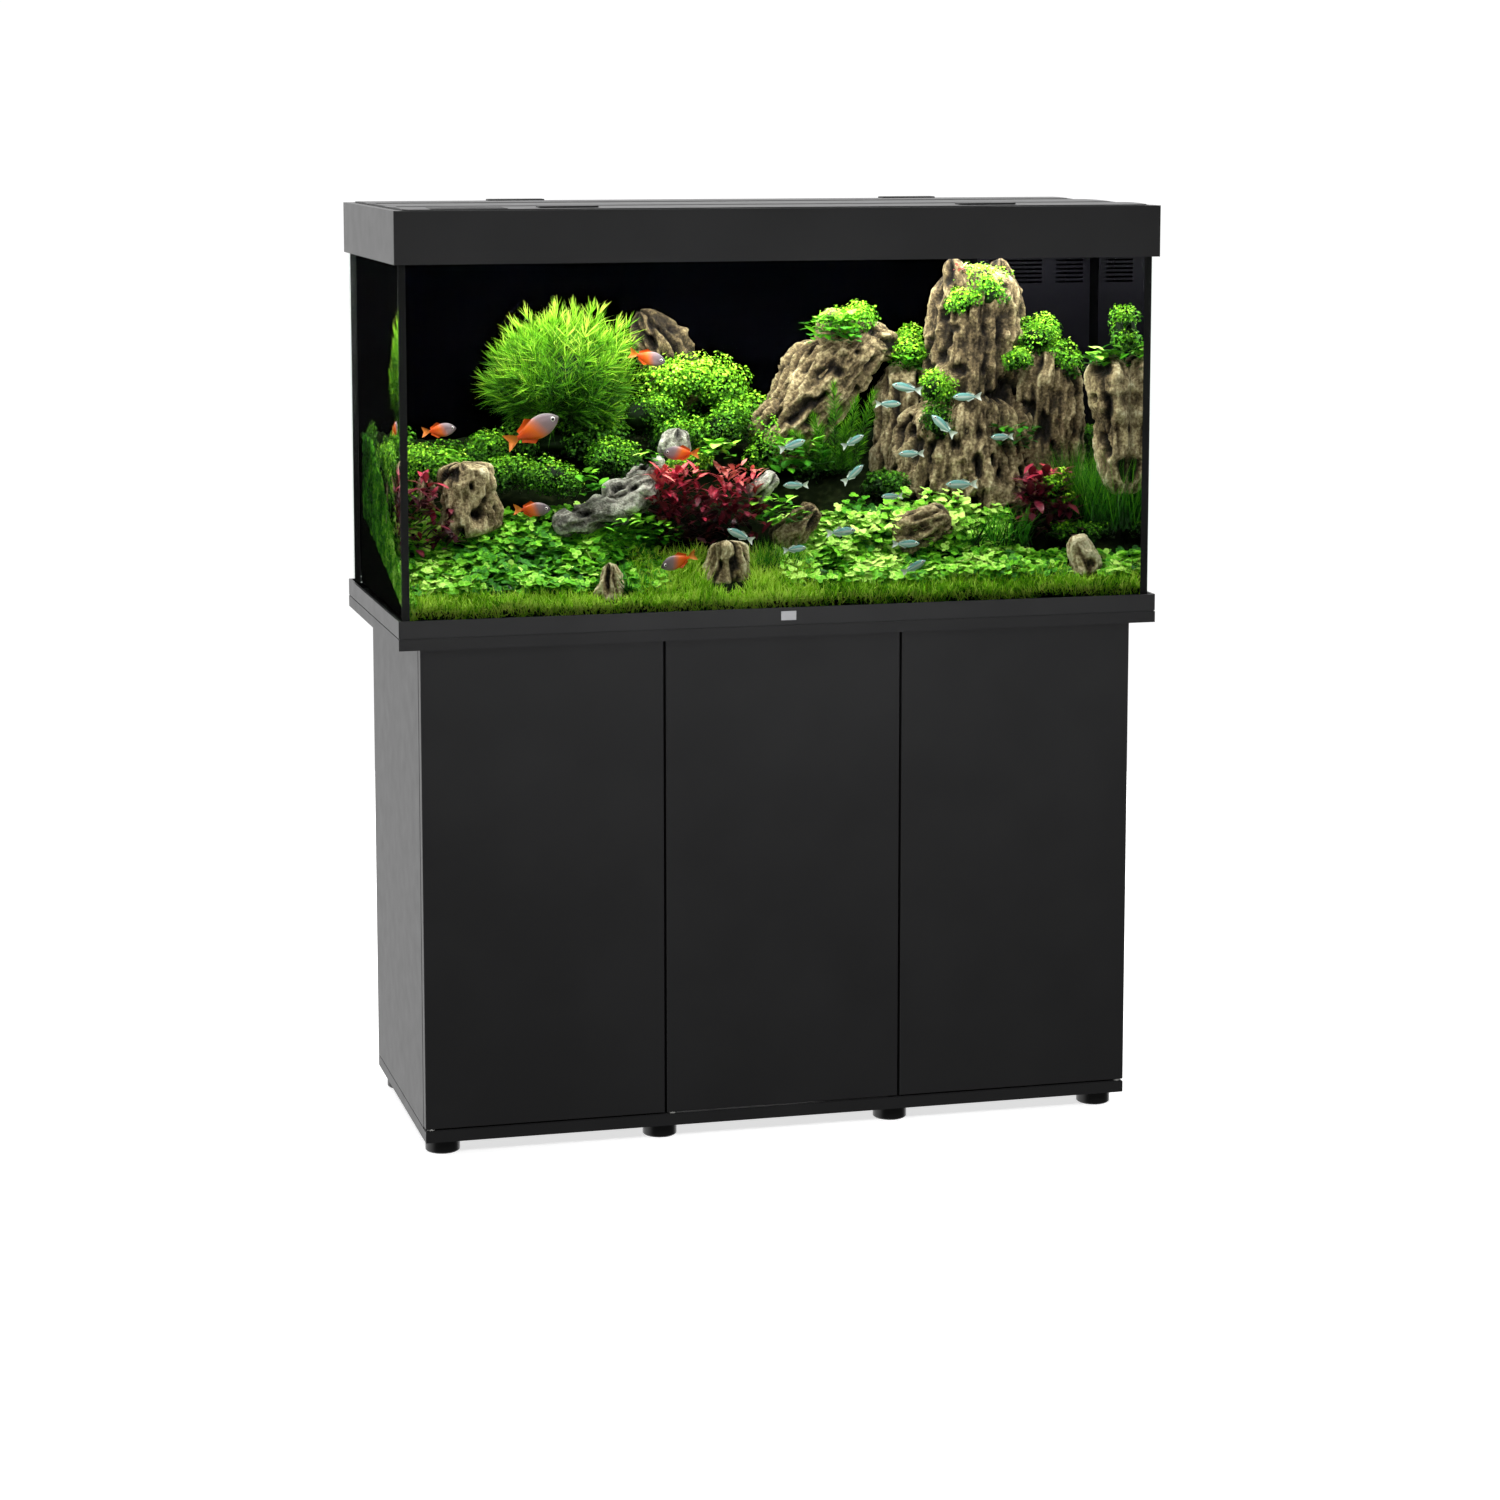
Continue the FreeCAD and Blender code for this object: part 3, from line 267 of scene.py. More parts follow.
# ---------------------------------------------------------------- materials
def add_node(tree, kind, inputs=None, **settings):
    """A new shader node; each input is a value or another node's output."""
    node = tree.nodes.new("ShaderNode" + kind)
    for name, value in settings.items():
        setattr(node, name, value)
    for name, value in (inputs or {}).items():
        if isinstance(value, bpy.types.NodeSocket):
            tree.links.new(value, node.inputs[name])
        else:
            node.inputs[name].default_value = value
    return node


class Shader:
    """A material's nodes, with a short way to add and join them."""

    def __init__(self, name):
        self.material = bpy.data.materials.new(name)
        self.material.use_nodes = True
        self.tree = self.material.node_tree
        self.tree.nodes.clear()
        self.output = self.tree.nodes.new("ShaderNodeOutputMaterial")
        self.place = self.add("TexCoord").outputs["Object"]

    def add(self, kind, inputs=None, **settings):
        return add_node(self.tree, kind, inputs, **settings)

    def combine(self, operation, first, second):
        return self.add("Math", {0: first, 1: second}, operation=operation).outputs[0]

    def noise(self, scale, detail=3.0, stretch=(1, 1, 1)):
        place = self.add("Mapping", {"Vector": self.place, "Scale": stretch}).outputs[0]
        inputs = {"Vector": place, "Scale": scale, "Detail": detail}
        return self.add("TexNoise", inputs).outputs[0]

    def ramp(self, factor, stops):
        node = self.add("ValToRGB", {"Fac": factor})
        elements = node.color_ramp.elements
        while len(elements) < len(stops):
            elements.new(0.5)
        for element, (place, colour) in zip(elements, stops):
            element.position = place
            element.color = (*colour, 1)
        return node.outputs[0]

    def bump(self, height, distance):
        inputs = {"Height": height, "Distance": distance, "Strength": 1.0}
        return self.add("Bump", inputs).outputs[0]

    def finish(self, inputs):
        surface = self.add("BsdfPrincipled", inputs)
        return self.join(surface.outputs[0])

    def mix(self, share, first, second):
        """The material made of a second surface over a first, in a share from 0 to 1."""
        inputs = {0: share, 1: first.outputs[0], 2: second.outputs[0]}
        return self.join(self.add("MixShader", inputs).outputs[0])

    def join(self, surface):
        self.tree.links.new(surface, self.output.inputs["Surface"])
        return self.material


def grey(level):
    return (level, level, level)


def moulded(name, dark, light, roughness, grain=900.0, depth=0.00003, metal=0.0, specular=0.5):
    """Plastic, metal or laminate: two close tones, uneven gloss and a fine grain."""
    shader = Shader(name)
    colour = shader.ramp(shader.noise(7.0), [(0.35, dark), (0.65, light)])
    span = {"Value": shader.noise(30.0), "To Min": roughness - 0.05, "To Max": roughness + 0.05}
    gloss = shader.add("MapRange", span)
    grained = shader.bump(shader.noise(grain), depth)
    shader_inputs = {"Base Color": colour, "Roughness": gloss.outputs[0], "Normal": grained}
    return shader.finish({**shader_inputs, "Metallic": metal, "Specular IOR Level": specular})


def brushed(name, dark, light, roughness):
    """Metal brushed along X."""
    shader = Shader(name)
    streaks = shader.noise(600.0, 2.0, (0.02, 1, 1))
    colour = shader.ramp(streaks, [(0.3, dark), (0.7, light)])
    lines = shader.bump(streaks, 0.00002)
    inputs = {"Base Color": colour, "Roughness": roughness, "Normal": lines, "Metallic": 1.0}
    return shader.finish(inputs)


GLASS_IOR = 1.5
WATER_IOR = 1.333
PANE_SHINE = 0.3  # how much of real glass's reflection the panes show


def pane(name, tint, gloss):
    """Clear glass that shows what is behind it, with a faint gloss."""
    shader = Shader(name)
    clear = shader.add("BsdfTransparent", {"Color": (*tint, 1)})
    shine = shader.add("BsdfGlossy", {"Roughness": 0.02, "Color": (*grey(gloss), 1)})
    fresnel = shader.add("Fresnel", {"IOR": GLASS_IOR}).outputs[0]
    inside = shader.add("NewGeometry").outputs["Backfacing"]
    outside = shader.combine("SUBTRACT", 1.0, inside)
    share = shader.combine("MULTIPLY", fresnel, outside)
    return shader.mix(shader.combine("MULTIPLY", share, PANE_SHINE), clear, shine)


def water_material():
    """Water that bends light, and mirrors it from inside where it strikes a pane at a low angle."""
    shader = Shader("water")
    bends = {"IOR": WATER_IOR, "Roughness": 0.0, "Color": (0.97, 0.99, 0.98, 1)}
    clear = shader.add("BsdfRefraction", bends)
    mirror = shader.add("BsdfGlossy", {"Roughness": 0.0, "Color": (*grey(0.9), 1)})
    fresnel = shader.add("Fresnel", {"IOR": WATER_IOR}).outputs[0]
    inside = shader.add("NewGeometry").outputs["Backfacing"]
    span = {"Value": fresnel, "From Min": 0.1, "From Max": 1.0}
    steep = shader.add("MapRange", span).outputs[0]
    return shader.mix(shader.combine("MULTIPLY", steep, inside), clear, mirror)


def toned(name, stops, roughness, mottle, grain, depth, specular=0.2):
    """A surface coloured by its tone, mottled by noise, with a fine relief."""
    shader = Shader(name)
    tone = shader.add("Attribute", attribute_name="tone").outputs["Fac"]
    span = {"Value": shader.noise(grain, 4.0), "To Min": -mottle, "To Max": mottle}
    spots = shader.add("MapRange", span).outputs[0]
    colour = shader.ramp(shader.combine("ADD", tone, spots), stops)
    relief = shader.bump(shader.noise(grain * 2, 5.0), depth)
    shader_inputs = {"Base Color": colour, "Roughness": roughness, "Normal": relief}
    return shader.finish({**shader_inputs, "Specular IOR Level": specular})


def tube_material():
    shader = Shader("tube_diffuser")
    glow = shader.ramp(shader.noise(20.0), [(0.3, (0.86, 0.92, 1.0)), (0.7, (0.95, 0.97, 1.0))])
    light = {"Emission Color": (0.9, 0.95, 1.0, 1), "Emission Strength": 1.2}
    return shader.finish({"Base Color": glow, "Roughness": 0.35, **light})


CHARCOAL = ((0.015, 0.015, 0.0155), (0.0175, 0.0175, 0.018))
PLASTIC = ((0.0185, 0.0185, 0.019), (0.0215, 0.0215, 0.022))


def paint(material, names):
    """Gives CAD nodes a material."""
    for name in names.split():
        for slot in NODES[name].material_slots:
            slot.material = material


def finish_cabinet():
    board = moulded("charcoal_board", *CHARCOAL, 0.42, grain=1400.0)
    paint(board, "base_plate top_panel side_panel_left side_panel_right shelves")
    paint(board, "partition_left partition_right door_left door_middle door_right")
    back = moulded("back_board", grey(0.02), (0.03, 0.03, 0.028), 0.7, grain=500.0)
    paint(back, "back_panels")
    paint(moulded("foot_plastic", grey(0.004), grey(0.007), 0.28), "feet")
    steel = brushed("steel", (0.42, 0.42, 0.43), (0.6, 0.6, 0.62), 0.3)
    paint(steel, "foot_screws cam_bolts shelf_pins flap_hinge_pins")
    for name in ("left", "middle", "right"):
        paint(steel, f"door_{name}_pivots door_{name}_strike")
    zinc = moulded("cam_zinc", (0.28, 0.28, 0.3), (0.38, 0.38, 0.4), 0.45, metal=1.0)
    paint(zinc, "cam_locks")
    bush = moulded("bush_plastic", (0.35, 0.35, 0.33), (0.42, 0.42, 0.4), 0.5)
    paint(bush, "pivot_bushes latch_plunger_left latch_plunger_middle latch_plunger_right")
    paint(moulded("latch_plastic", grey(0.1), grey(0.13), 0.45), "latch_bodies")


def finish_tank():
    moulding = moulded("frame_plastic", *PLASTIC, 0.4, grain=1200.0, depth=0.00004)
    paint(moulding, "tank_base_frame lid_frame light_cover front_flap rear_flap")
    grip = moulded("grip_plastic", grey(0.005), grey(0.008), 0.5, depth=0.00008)
    paint(grip, "front_flap_grips rear_flap_grips feeding_hatch cable_grommets")
    paint(moulded("badge_metal", (0.26, 0.26, 0.27), (0.36, 0.36, 0.37), 0.35), "badge")
    glass = pane("tank_glass", (0.985, 1.0, 0.99), 0.012)
    paint(glass, "glass_front glass_back glass_left glass_right glass_bottom")
    paint(moulded("black_silicone", grey(0.003), grey(0.006), 0.5), "silicone_seams")
    film_tones = ((0.0004, 0.0004, 0.0008), (0.0008, 0.0007, 0.0014))
    paint(moulded("black_film", *film_tones, 0.6, specular=0.0), "background_film")
    paint(brushed("light_metal", grey(0.5), grey(0.7), 0.35), "light_bar")
    paint(moulded("light_plastic", grey(0.03), grey(0.05), 0.45), "light_end_caps")
    paint(tube_material(), "led_tubes")
    box_tones = ((0.0013, 0.0011, 0.002), (0.002, 0.0017, 0.0029))
    box_plastic = moulded("filter_plastic", *box_tones, 0.5, specular=0.03)
    paint(box_plastic, "filter_box pump_body pump_nozzle")
    foam_tones = ((0.01, 0.03, 0.08), (0.03, 0.07, 0.16))
    paint(moulded("filter_foam", *foam_tones, 0.95, grain=400.0, depth=0.002), "filter_sponges")
    paint(moulded("heater_glass", (0.5, 0.52, 0.52), (0.6, 0.62, 0.62), 0.15), "heater")


GREENS = [
    (0.0, (0.002, 0.01, 0.001)), (0.3, (0.008, 0.055, 0.003)), (0.55, (0.035, 0.22, 0.006)),
    (0.8, (0.2, 0.58, 0.022)), (1.0, (0.6, 0.86, 0.18)),
]
GRASS_GREENS = [
    (0.0, (0.004, 0.014, 0.001)), (0.3, (0.022, 0.085, 0.003)), (0.55, (0.1, 0.32, 0.008)),
    (0.8, (0.3, 0.62, 0.02)), (1.0, (0.64, 0.84, 0.12)),
]
CUSHION_GREENS = [
    (0.0, (0.003, 0.01, 0.001)), (0.3, (0.014, 0.06, 0.003)), (0.55, (0.07, 0.26, 0.008)),
    (0.8, (0.26, 0.58, 0.02)), (1.0, (0.62, 0.8, 0.1)),
]
REDS = [
    (0.0, (0.01, 0.003, 0.004)), (0.35, (0.055, 0.008, 0.014)), (0.6, (0.2, 0.012, 0.03)),
    (0.85, (0.6, 0.035, 0.07)), (1.0, (0.75, 0.22, 0.18)),
]
STONES = [
    (0.0, (0.006, 0.004, 0.003)), (0.3, (0.035, 0.024, 0.012)), (0.55, (0.15, 0.105, 0.052)),
    (0.8, (0.42, 0.33, 0.18)), (1.0, (0.75, 0.66, 0.44)),
]
GREY_STONES = [
    (0.0, (0.012, 0.011, 0.009)), (0.4, (0.13, 0.12, 0.1)), (0.7, (0.42, 0.4, 0.34)),
    (1.0, (0.8, 0.78, 0.68)),
]
SOIL = [(0.0, (0.001, 0.002, 0.001)), (0.5, (0.006, 0.01, 0.003)), (1.0, (0.04, 0.045, 0.015))]
ORANGE_FISH = [
    (0.0, (0.06, 0.045, 0.05)), (0.2, (0.15, 0.11, 0.125)), (0.38, (0.2, 0.125, 0.13)),
    (0.6, (0.6, 0.11, 0.01)), (0.85, (0.55, 0.045, 0.003)), (1.0, (0.6, 0.22, 0.03)),
]
BLUE_FISH = [
    (0.0, (0.04, 0.08, 0.08)), (0.35, (0.12, 0.29, 0.27)), (0.7, (0.36, 0.44, 0.4)),
    (1.0, (0.6, 0.62, 0.55)),
]
EYES = [
    (0.0, (0.004, 0.004, 0.006)), (0.45, (0.01, 0.01, 0.012)), (0.55, (0.8, 0.68, 0.62)),
    (1.0, (0.95, 0.9, 0.85)),
]


# ---------------------------------------------------------------- ground
GROUND_Y = (-0.24, -0.215, -0.17, -0.11, -0.06, 0.02, 0.1, 0.24)
GROUND_Z = (0.848, 0.858, 0.88, 0.925, 0.975, 1.02, 1.06, 1.08)


def ground(x, y):
    """The height of the planted bed."""
    flat = np.stack([x, y, np.zeros_like(x)], axis=1)
    lumps = 0.006 * noise(flat, 0.06, 3) + 0.003 * noise(flat, 0.02, 4)
    return np.interp(y, GROUND_Y, GROUND_Z) + lumps


def make_bed(material):
    """Gravel rising to the back, as a closed body with a grained top."""
    columns, rows = 240, 110
    x = np.linspace(TANK_LEFT + 0.013, TANK_RIGHT - 0.001, columns)
    y = np.linspace(TANK_FRONT + 0.001, TANK_BACK - 0.001, rows)
    flat_y, flat_x = pairs(y, x)
    surface = np.stack([flat_x, flat_y, ground(flat_x, flat_y)], axis=1)
    surface[:, 2] += 0.0015 * noise(surface, 0.004, 8)
    low = surface * [1, 1, 0] + [0, 0, TANK_FLOOR + 0.0005]
    tones = 0.45 + 0.4 * rough_noise(surface, 0.01, 9)
    heap = Heap()
    add_slab(heap, surface, low, rows, columns, (tones, 0.2, 0.05))
    heap.piece("gravel_bed", material, ["gravel"])


# ---------------------------------------------------------------- stones
def stone(
    heap, foot, head, wide, deep, seed, taper,
    groove=0.014, hollow=0.012, step=0.003, lift=0.0, rough=0.2,
):
    """A weathered stone round the line from foot to head, grooved along that line and pitted, with painted
    highlights on its ridges and painted shade in its pits.
    """
    foot, head = np.array(foot), np.array(head)
    length = np.linalg.norm(head - foot)
    axis = (head - foot) / length
    across = unit(np.cross([0.0, 1.0, 0.0], axis))
    inward = np.cross(axis, across)
    rows = max(int(length / step), 14)
    around = max(int(math.pi * (wide + deep) / 2 / step), 28)
    along, turn = pairs(np.linspace(0.003, 0.997, rows), full_turn(around))
    dome = np.sqrt(1 - np.abs(2 * along - 1) ** 7)
    spread = dome * (1 + (taper - 1) * along)
    out = np.cos(turn)[:, None] * across + np.sin(turn)[:, None] * inward
    wide_part, deep_part = np.cos(turn) * wide / 2, np.sin(turn) * deep / 2
    shell = np.outer(wide_part, across) + np.outer(deep_part, inward)
    local = np.stack([wide_part, deep_part, along * length], axis=1)
    size = min(wide, deep)
    big = rough_noise(local, (size * 0.8, size * 0.8, size * 1.2), seed, 4)
    ridges = 1 - 2 * np.abs(noise(local, (0.013, 0.013, 0.055), seed + 5))
    thin_ridges = 1 - 2 * np.abs(noise(local, (0.0065, 0.0065, 0.024), seed + 7))
    fine = rough_noise(local, (0.006, 0.006, 0.012), seed + 9, 3)
    pits = np.clip(noise(local, (0.013, 0.013, 0.022), seed + 13) - 0.25, 0, 0.4) * 2.5
    push = rough * size * big + groove * (0.4 * ridges + 0.28 * thin_ridges) + 0.004 * fine - hollow * pits
    points = foot + np.outer(along * length, axis)
    points += shell * spread[:, None] + out * (push * dome)[:, None]
    top_lumps = rough_noise(local, size * 0.5, seed + 21, 3) * (along > 0.8)
    points += np.outer(0.1 * size * top_lumps, axis)
    # Ridges and outward bulges are lighter and pits darker: painted highlight on the raised parts and
    # painted shade in the hollows; the fine term is the stone's own mottling.
    tones = 0.4 + 0.17 * ridges + 0.2 * thin_ridges + 0.26 * fine - 0.7 * pits + 0.25 * big + lift
    add_tube(heap, points.reshape(rows, around, 3), np.clip(tones, 0, 1).reshape(rows, around))


TOWER = (  # foot, head, width, depth, seed, taper, and what differs from a plain stone
    ((0.352, 0.0, 0.935), (0.358, 0.0, 1.15), 0.29, 0.15, 11, 0.72, dict()),
    ((0.362, 0.0, 1.05), (0.366, 0.0, 1.358), 0.165, 0.12, 12, 0.86, dict(lift=-0.06)),
    ((0.476, 0.0, 0.96), (0.49, 0.0, 1.225), 0.13, 0.11, 13, 0.8, dict()),
    ((0.256, 0.045, 0.96), (0.262, 0.05, 1.205), 0.1, 0.09, 14, 0.8, dict()),
    ((0.34, -0.03, 1.285), (0.318, -0.03, 1.37), 0.04, 0.034, 15, 0.45, dict(hollow=0.006, lift=-0.14)),
    ((0.412, -0.01, 1.27), (0.404, -0.01, 1.368), 0.05, 0.04, 16, 0.5,
     dict(hollow=0.006, lift=-0.16, rough=0.35)),
)
ROCKS = (
    ((0.015, 0.02, 1.055), (0.2, 0.03, 1.262), 0.1, 0.095, 21, 0.85, dict(groove=0.016)),
    ((0.045, 0.045, 1.04), (0.13, 0.045, 1.235), 0.11, 0.08, 22, 0.9, dict(groove=0.016)),
    ((0.11, 0.04, 1.262), (0.24, 0.045, 1.225), 0.062, 0.085, 23, 0.85, dict()),
    ((-0.07, 0.125, 1.13), (-0.165, 0.13, 1.285), 0.085, 0.08, 24, 0.6,
     dict(hollow=0.018, lift=-0.22, rough=0.35)),
    ((0.582, -0.115, 0.99), (0.56, -0.115, 1.215), 0.04, 0.06, 25, 1.7, dict(hollow=0.016, lift=0.1)),
    ((-0.47, -0.08, 0.95), (-0.485, -0.08, 1.068), 0.1, 0.062, 26, 0.75,
     dict(hollow=0.014, lift=0.08, rough=0.4)),
    ((0.2, -0.13, 0.93), (0.29, -0.145, 0.968), 0.06, 0.044, 27, 0.7, dict()),
    ((-0.268, -0.2, 0.856), (-0.272, -0.2, 0.915), 0.056, 0.034, 28, 0.35,
     dict(groove=0.006, hollow=0.006, step=0.002, lift=0.3, rough=0.4)),
    ((-0.08, -0.172, 0.87), (-0.08, -0.172, 0.94), 0.082, 0.05, 29, 0.75,
     dict(groove=0.005, hollow=0.008, step=0.002, lift=0.28, rough=0.35)),
    ((0.515, -0.186, 0.868), (0.488, -0.184, 0.932), 0.05, 0.034, 30, 0.6,
     dict(groove=0.006, hollow=0.006, step=0.002, lift=0.28, rough=0.35)),
    ((0.01, -0.12, 0.925), (0.075, -0.118, 0.985), 0.05, 0.04, 36, 0.7, dict()),
    ((-0.56, -0.04, 0.95), (-0.54, -0.04, 1.045), 0.06, 0.06, 37, 0.7, dict()),
)
PALE_ROCKS = (
    ((-0.255, -0.085, 0.99), (-0.18, -0.09, 1.03), 0.064, 0.05, 31, 0.8,
     dict(groove=0.01, step=0.0025, rough=0.4)),
    ((-0.345, -0.095, 0.968), (-0.225, -0.1, 0.99), 0.042, 0.046, 32, 0.9,
     dict(groove=0.01, lift=-0.12, rough=0.4)),
    ((-0.14, -0.034, 1.04), (-0.133, -0.034, 1.108), 0.046, 0.034, 33, 0.7,
     dict(groove=0.008, lift=-0.12, rough=0.4)),
    ((-0.215, -0.06, 1.02), (-0.16, -0.06, 1.06), 0.04, 0.04, 34, 0.7, dict(groove=0.006, lift=-0.05)),
    ((-0.03, -0.11, 1.0), (0.01, -0.108, 1.04), 0.034, 0.034, 35, 0.7, dict(groove=0.006, step=0.0025)),
)


def make_stones(brown, pale_grey):
    for name, rows, material, replaced in (
        ("tower_rock", TOWER, brown, ["rock_tower"]),
        ("brown_rocks", ROCKS, brown, ["rocks"]),
        ("grey_rocks", PALE_ROCKS, pale_grey, []),
    ):
        heap = Heap()
        for foot, head, wide, deep, seed, taper, own in rows:
            stone(heap, foot, head, wide, deep, seed, taper, **own)
        heap.piece(name, material, replaced)


# ---------------------------------------------------------------- plants
def sphere_points(rng, count, lowest=-0.4):
    """Even random directions, none lower than a given height on a ball from -1 to 1."""
    height = rng.uniform(lowest, 1, count)
    turn = rng.uniform(0, TURN, count)
    level = np.sqrt(1 - height**2)
    return np.stack([level * np.cos(turn), level * np.sin(turn), height], axis=1)


def add_core(heap, centre, radii, seed, tone=0.0):
    """The inside of a tuft: a lumpy closed ball, at the darkest tone by default as painted shade."""
    rows, around = 18, 28
    tilt, turn = pairs(np.linspace(0.06, math.pi - 0.06, rows), full_turn(around))
    ways = np.stack([np.sin(tilt) * np.cos(turn), np.sin(tilt) * np.sin(turn), -np.cos(tilt)], axis=1)
    swell = 0.86 + 0.1 * noise(ways, 0.5, seed)
    points = np.array(centre) + ways * np.array(radii) * swell[:, None]
    add_tube(heap, points.reshape(rows, around, 3), tone)


def cushion(heap, centre, radii, seed, leaf, lift):
    """A tuft of tiny leaves: many small bulges over a dark core, which is painted shade."""
    rng = np.random.default_rng(seed)
    centre, radii = np.array(centre), np.array(radii)
    bulge = 0.5 * math.sqrt(radii.min() * radii.mean())
    number = int(5 + 1.5 * radii[0] * radii[1] / bulge**2)
    spread = np.maximum(radii - bulge, radii * 0.15)
    middles = centre + sphere_points(rng, number, -0.6) * spread * rng.uniform(0.6, 1.15, (number, 1))
    reach = bulge * rng.uniform(0.7, 1.25, number)
    count = int(9.0 * (reach**2).sum() / leaf**2)
    owner = rng.choice(number, count, p=reach**2 / (reach**2).sum())
    ways = sphere_points(rng, count, -0.9)
    depth = 1 + 0.16 * rough_noise(ways, 0.42, seed, 2) + rng.uniform(-0.22, 0.1, count)
    at = middles[owner] + ways * (reach[owner] * depth)[:, None]
    normals = unit(ways + rng.normal(0, 0.45, (count, 3)) + [0, 0, 0.45])
    rise = np.clip((at[:, 2] - centre[2]) / radii[2], -1, 1.2)
    # Leaves facing up, set higher or further out are lighter and those deep inside darker: painted light
    # from above and painted shade inside the tuft; the rest is random tone.
    tones = 0.44 + 0.15 * ways[:, 2] + 0.12 * rise + 0.8 * (depth - 1) + rng.normal(0, 0.09, count) + lift
    tones += rng.normal(0, 0.05, number)[owner]
    add_core(heap, centre, radii * 0.5, seed)
    turns = spun(rng, normals)
    scatter(heap, SMALL_LEAF, at, turns, leaf * rng.uniform(0.7, 1.35, count), tones)


CUSHIONS = (  # centre, radii, leaf size, lift of tone; the bright dwarf tufts on and among the stones
    ((0.368, -0.02, 1.333), (0.056, 0.05, 0.034), 0.0042, 0.14),
    ((0.335, -0.048, 1.3), (0.034, 0.028, 0.03), 0.0042, 0.14),
    ((0.38, -0.052, 1.312), (0.034, 0.02, 0.034), 0.0042, 0.02),
    ((0.468, -0.01, 1.238), (0.056, 0.058, 0.04), 0.0044, 0.1),
    ((0.51, -0.01, 1.205), (0.042, 0.055, 0.05), 0.0044, 0.02),
    ((0.43, -0.05, 1.205), (0.038, 0.026, 0.028), 0.0042, 0.08),
    ((0.262, 0.045, 1.222), (0.046, 0.048, 0.05), 0.0044, 0.14),
    ((0.285, -0.05, 1.162), (0.042, 0.036, 0.036), 0.0042, 0.12),
    ((0.292, -0.06, 1.11), (0.036, 0.03, 0.048), 0.004, -0.1),
    ((0.165, 0.03, 1.266), (0.066, 0.046, 0.036), 0.0042, 0.12),
    ((-0.07, 0.08, 1.175), (0.105, 0.06, 0.05), 0.005, 0.16),
    ((0.01, 0.06, 1.12), (0.06, 0.05, 0.05), 0.005, 0.06),
    ((-0.055, 0.005, 1.105), (0.06, 0.045, 0.05), 0.0042, 0.0),
    ((0.02, 0.0, 1.07), (0.05, 0.045, 0.05), 0.0042, 0.0),
    ((-0.18, 0.04, 1.125), (0.08, 0.05, 0.048), 0.0044, 0.04),
    ((-0.34, -0.062, 1.037), (0.064, 0.042, 0.042), 0.0044, 0.0),
    ((-0.235, -0.015, 1.06), (0.056, 0.045, 0.044), 0.0042, -0.04),
    ((-0.5, 0.06, 1.045), (0.066, 0.06, 0.055), 0.0046, -0.02),
    ((-0.43, 0.05, 1.06), (0.055, 0.05, 0.05), 0.0046, -0.08),
    ((-0.572, 0.02, 1.02), (0.02, 0.05, 0.07), 0.0044, -0.1),
    ((-0.125, -0.08, 1.052), (0.044, 0.03, 0.026), 0.0042, 0.12),
    ((-0.41, -0.03, 1.04), (0.055, 0.045, 0.04), 0.0044, -0.08),
    ((0.476, -0.125, 1.0), (0.034, 0.026, 0.036), 0.0042, 0.14),
    ((0.58, -0.115, 1.25), (0.018, 0.035, 0.048), 0.0046, 0.02),
    ((-0.3, 0.05, 1.085), (0.12, 0.06, 0.04), 0.005, -0.14),
    ((-0.13, 0.02, 1.085), (0.06, 0.05, 0.045), 0.0046, -0.04),
    ((-0.06, 0.12, 1.135), (0.09, 0.06, 0.05), 0.005, -0.02),
    ((-0.555, 0.14, 1.06), (0.04, 0.07, 0.055), 0.005, -0.14),
    ((-0.57, -0.06, 1.0), (0.024, 0.06, 0.06), 0.0046, -0.04),
    ((-0.545, -0.03, 1.045), (0.04, 0.05, 0.05), 0.0046, 0.0),
    ((0.12, 0.02, 1.04), (0.06, 0.05, 0.036), 0.005, -0.2),
    ((0.205, -0.05, 1.01), (0.05, 0.04, 0.03), 0.0048, -0.16),
    ((0.56, 0.06, 1.06), (0.04, 0.08, 0.04), 0.005, -0.22),
    ((0.545, -0.08, 0.985), (0.045, 0.04, 0.026), 0.0048, -0.12),
    ((0.52, -0.13, 0.935), (0.06, 0.035, 0.022), 0.0048, -0.1),
)
TUFT_BOUNDS = (-0.6, -0.42, -0.28, -0.12, 0.05, 0.27, 0.6)  # a piece for the tufts between each two


def make_cushions(material):
    """The dwarf tufts, in pieces from left to right."""
    spans = zip(TUFT_BOUNDS, TUFT_BOUNDS[1:])
    for number, (start, end) in enumerate(spans):
        moss = Heap()
        for index, (centre, radii, leaf, lift) in enumerate(CUSHIONS):
            if start <= centre[0] < end:
                cushion(moss, centre, radii, 100 + index, leaf, lift)
        replaced = ["green_plants"] if number == 0 else []
        moss.piece(f"dwarf_tufts_{number + 1}", material, replaced)


FRONT_CLEARINGS = ((-0.268, -0.2, 0.03), (-0.08, -0.172, 0.042), (0.505, -0.186, 0.032))


def bed_places(rng, density, x_span, y_span):
    """Random places on the bed, so many to a square metre, away from the front stones."""
    area = (x_span[1] - x_span[0]) * (y_span[1] - y_span[0])
    count = int(density * area)
    x = rng.uniform(*x_span, count)
    y = rng.uniform(*y_span, count)
    keep = np.ones(count, bool)
    for at_x, at_y, reach in FRONT_CLEARINGS:
        keep &= (x - at_x) ** 2 + (y - at_y) ** 2 > reach**2
    x, y = x[keep], y[keep]
    return np.stack([x, y, ground(x, y)], axis=1)


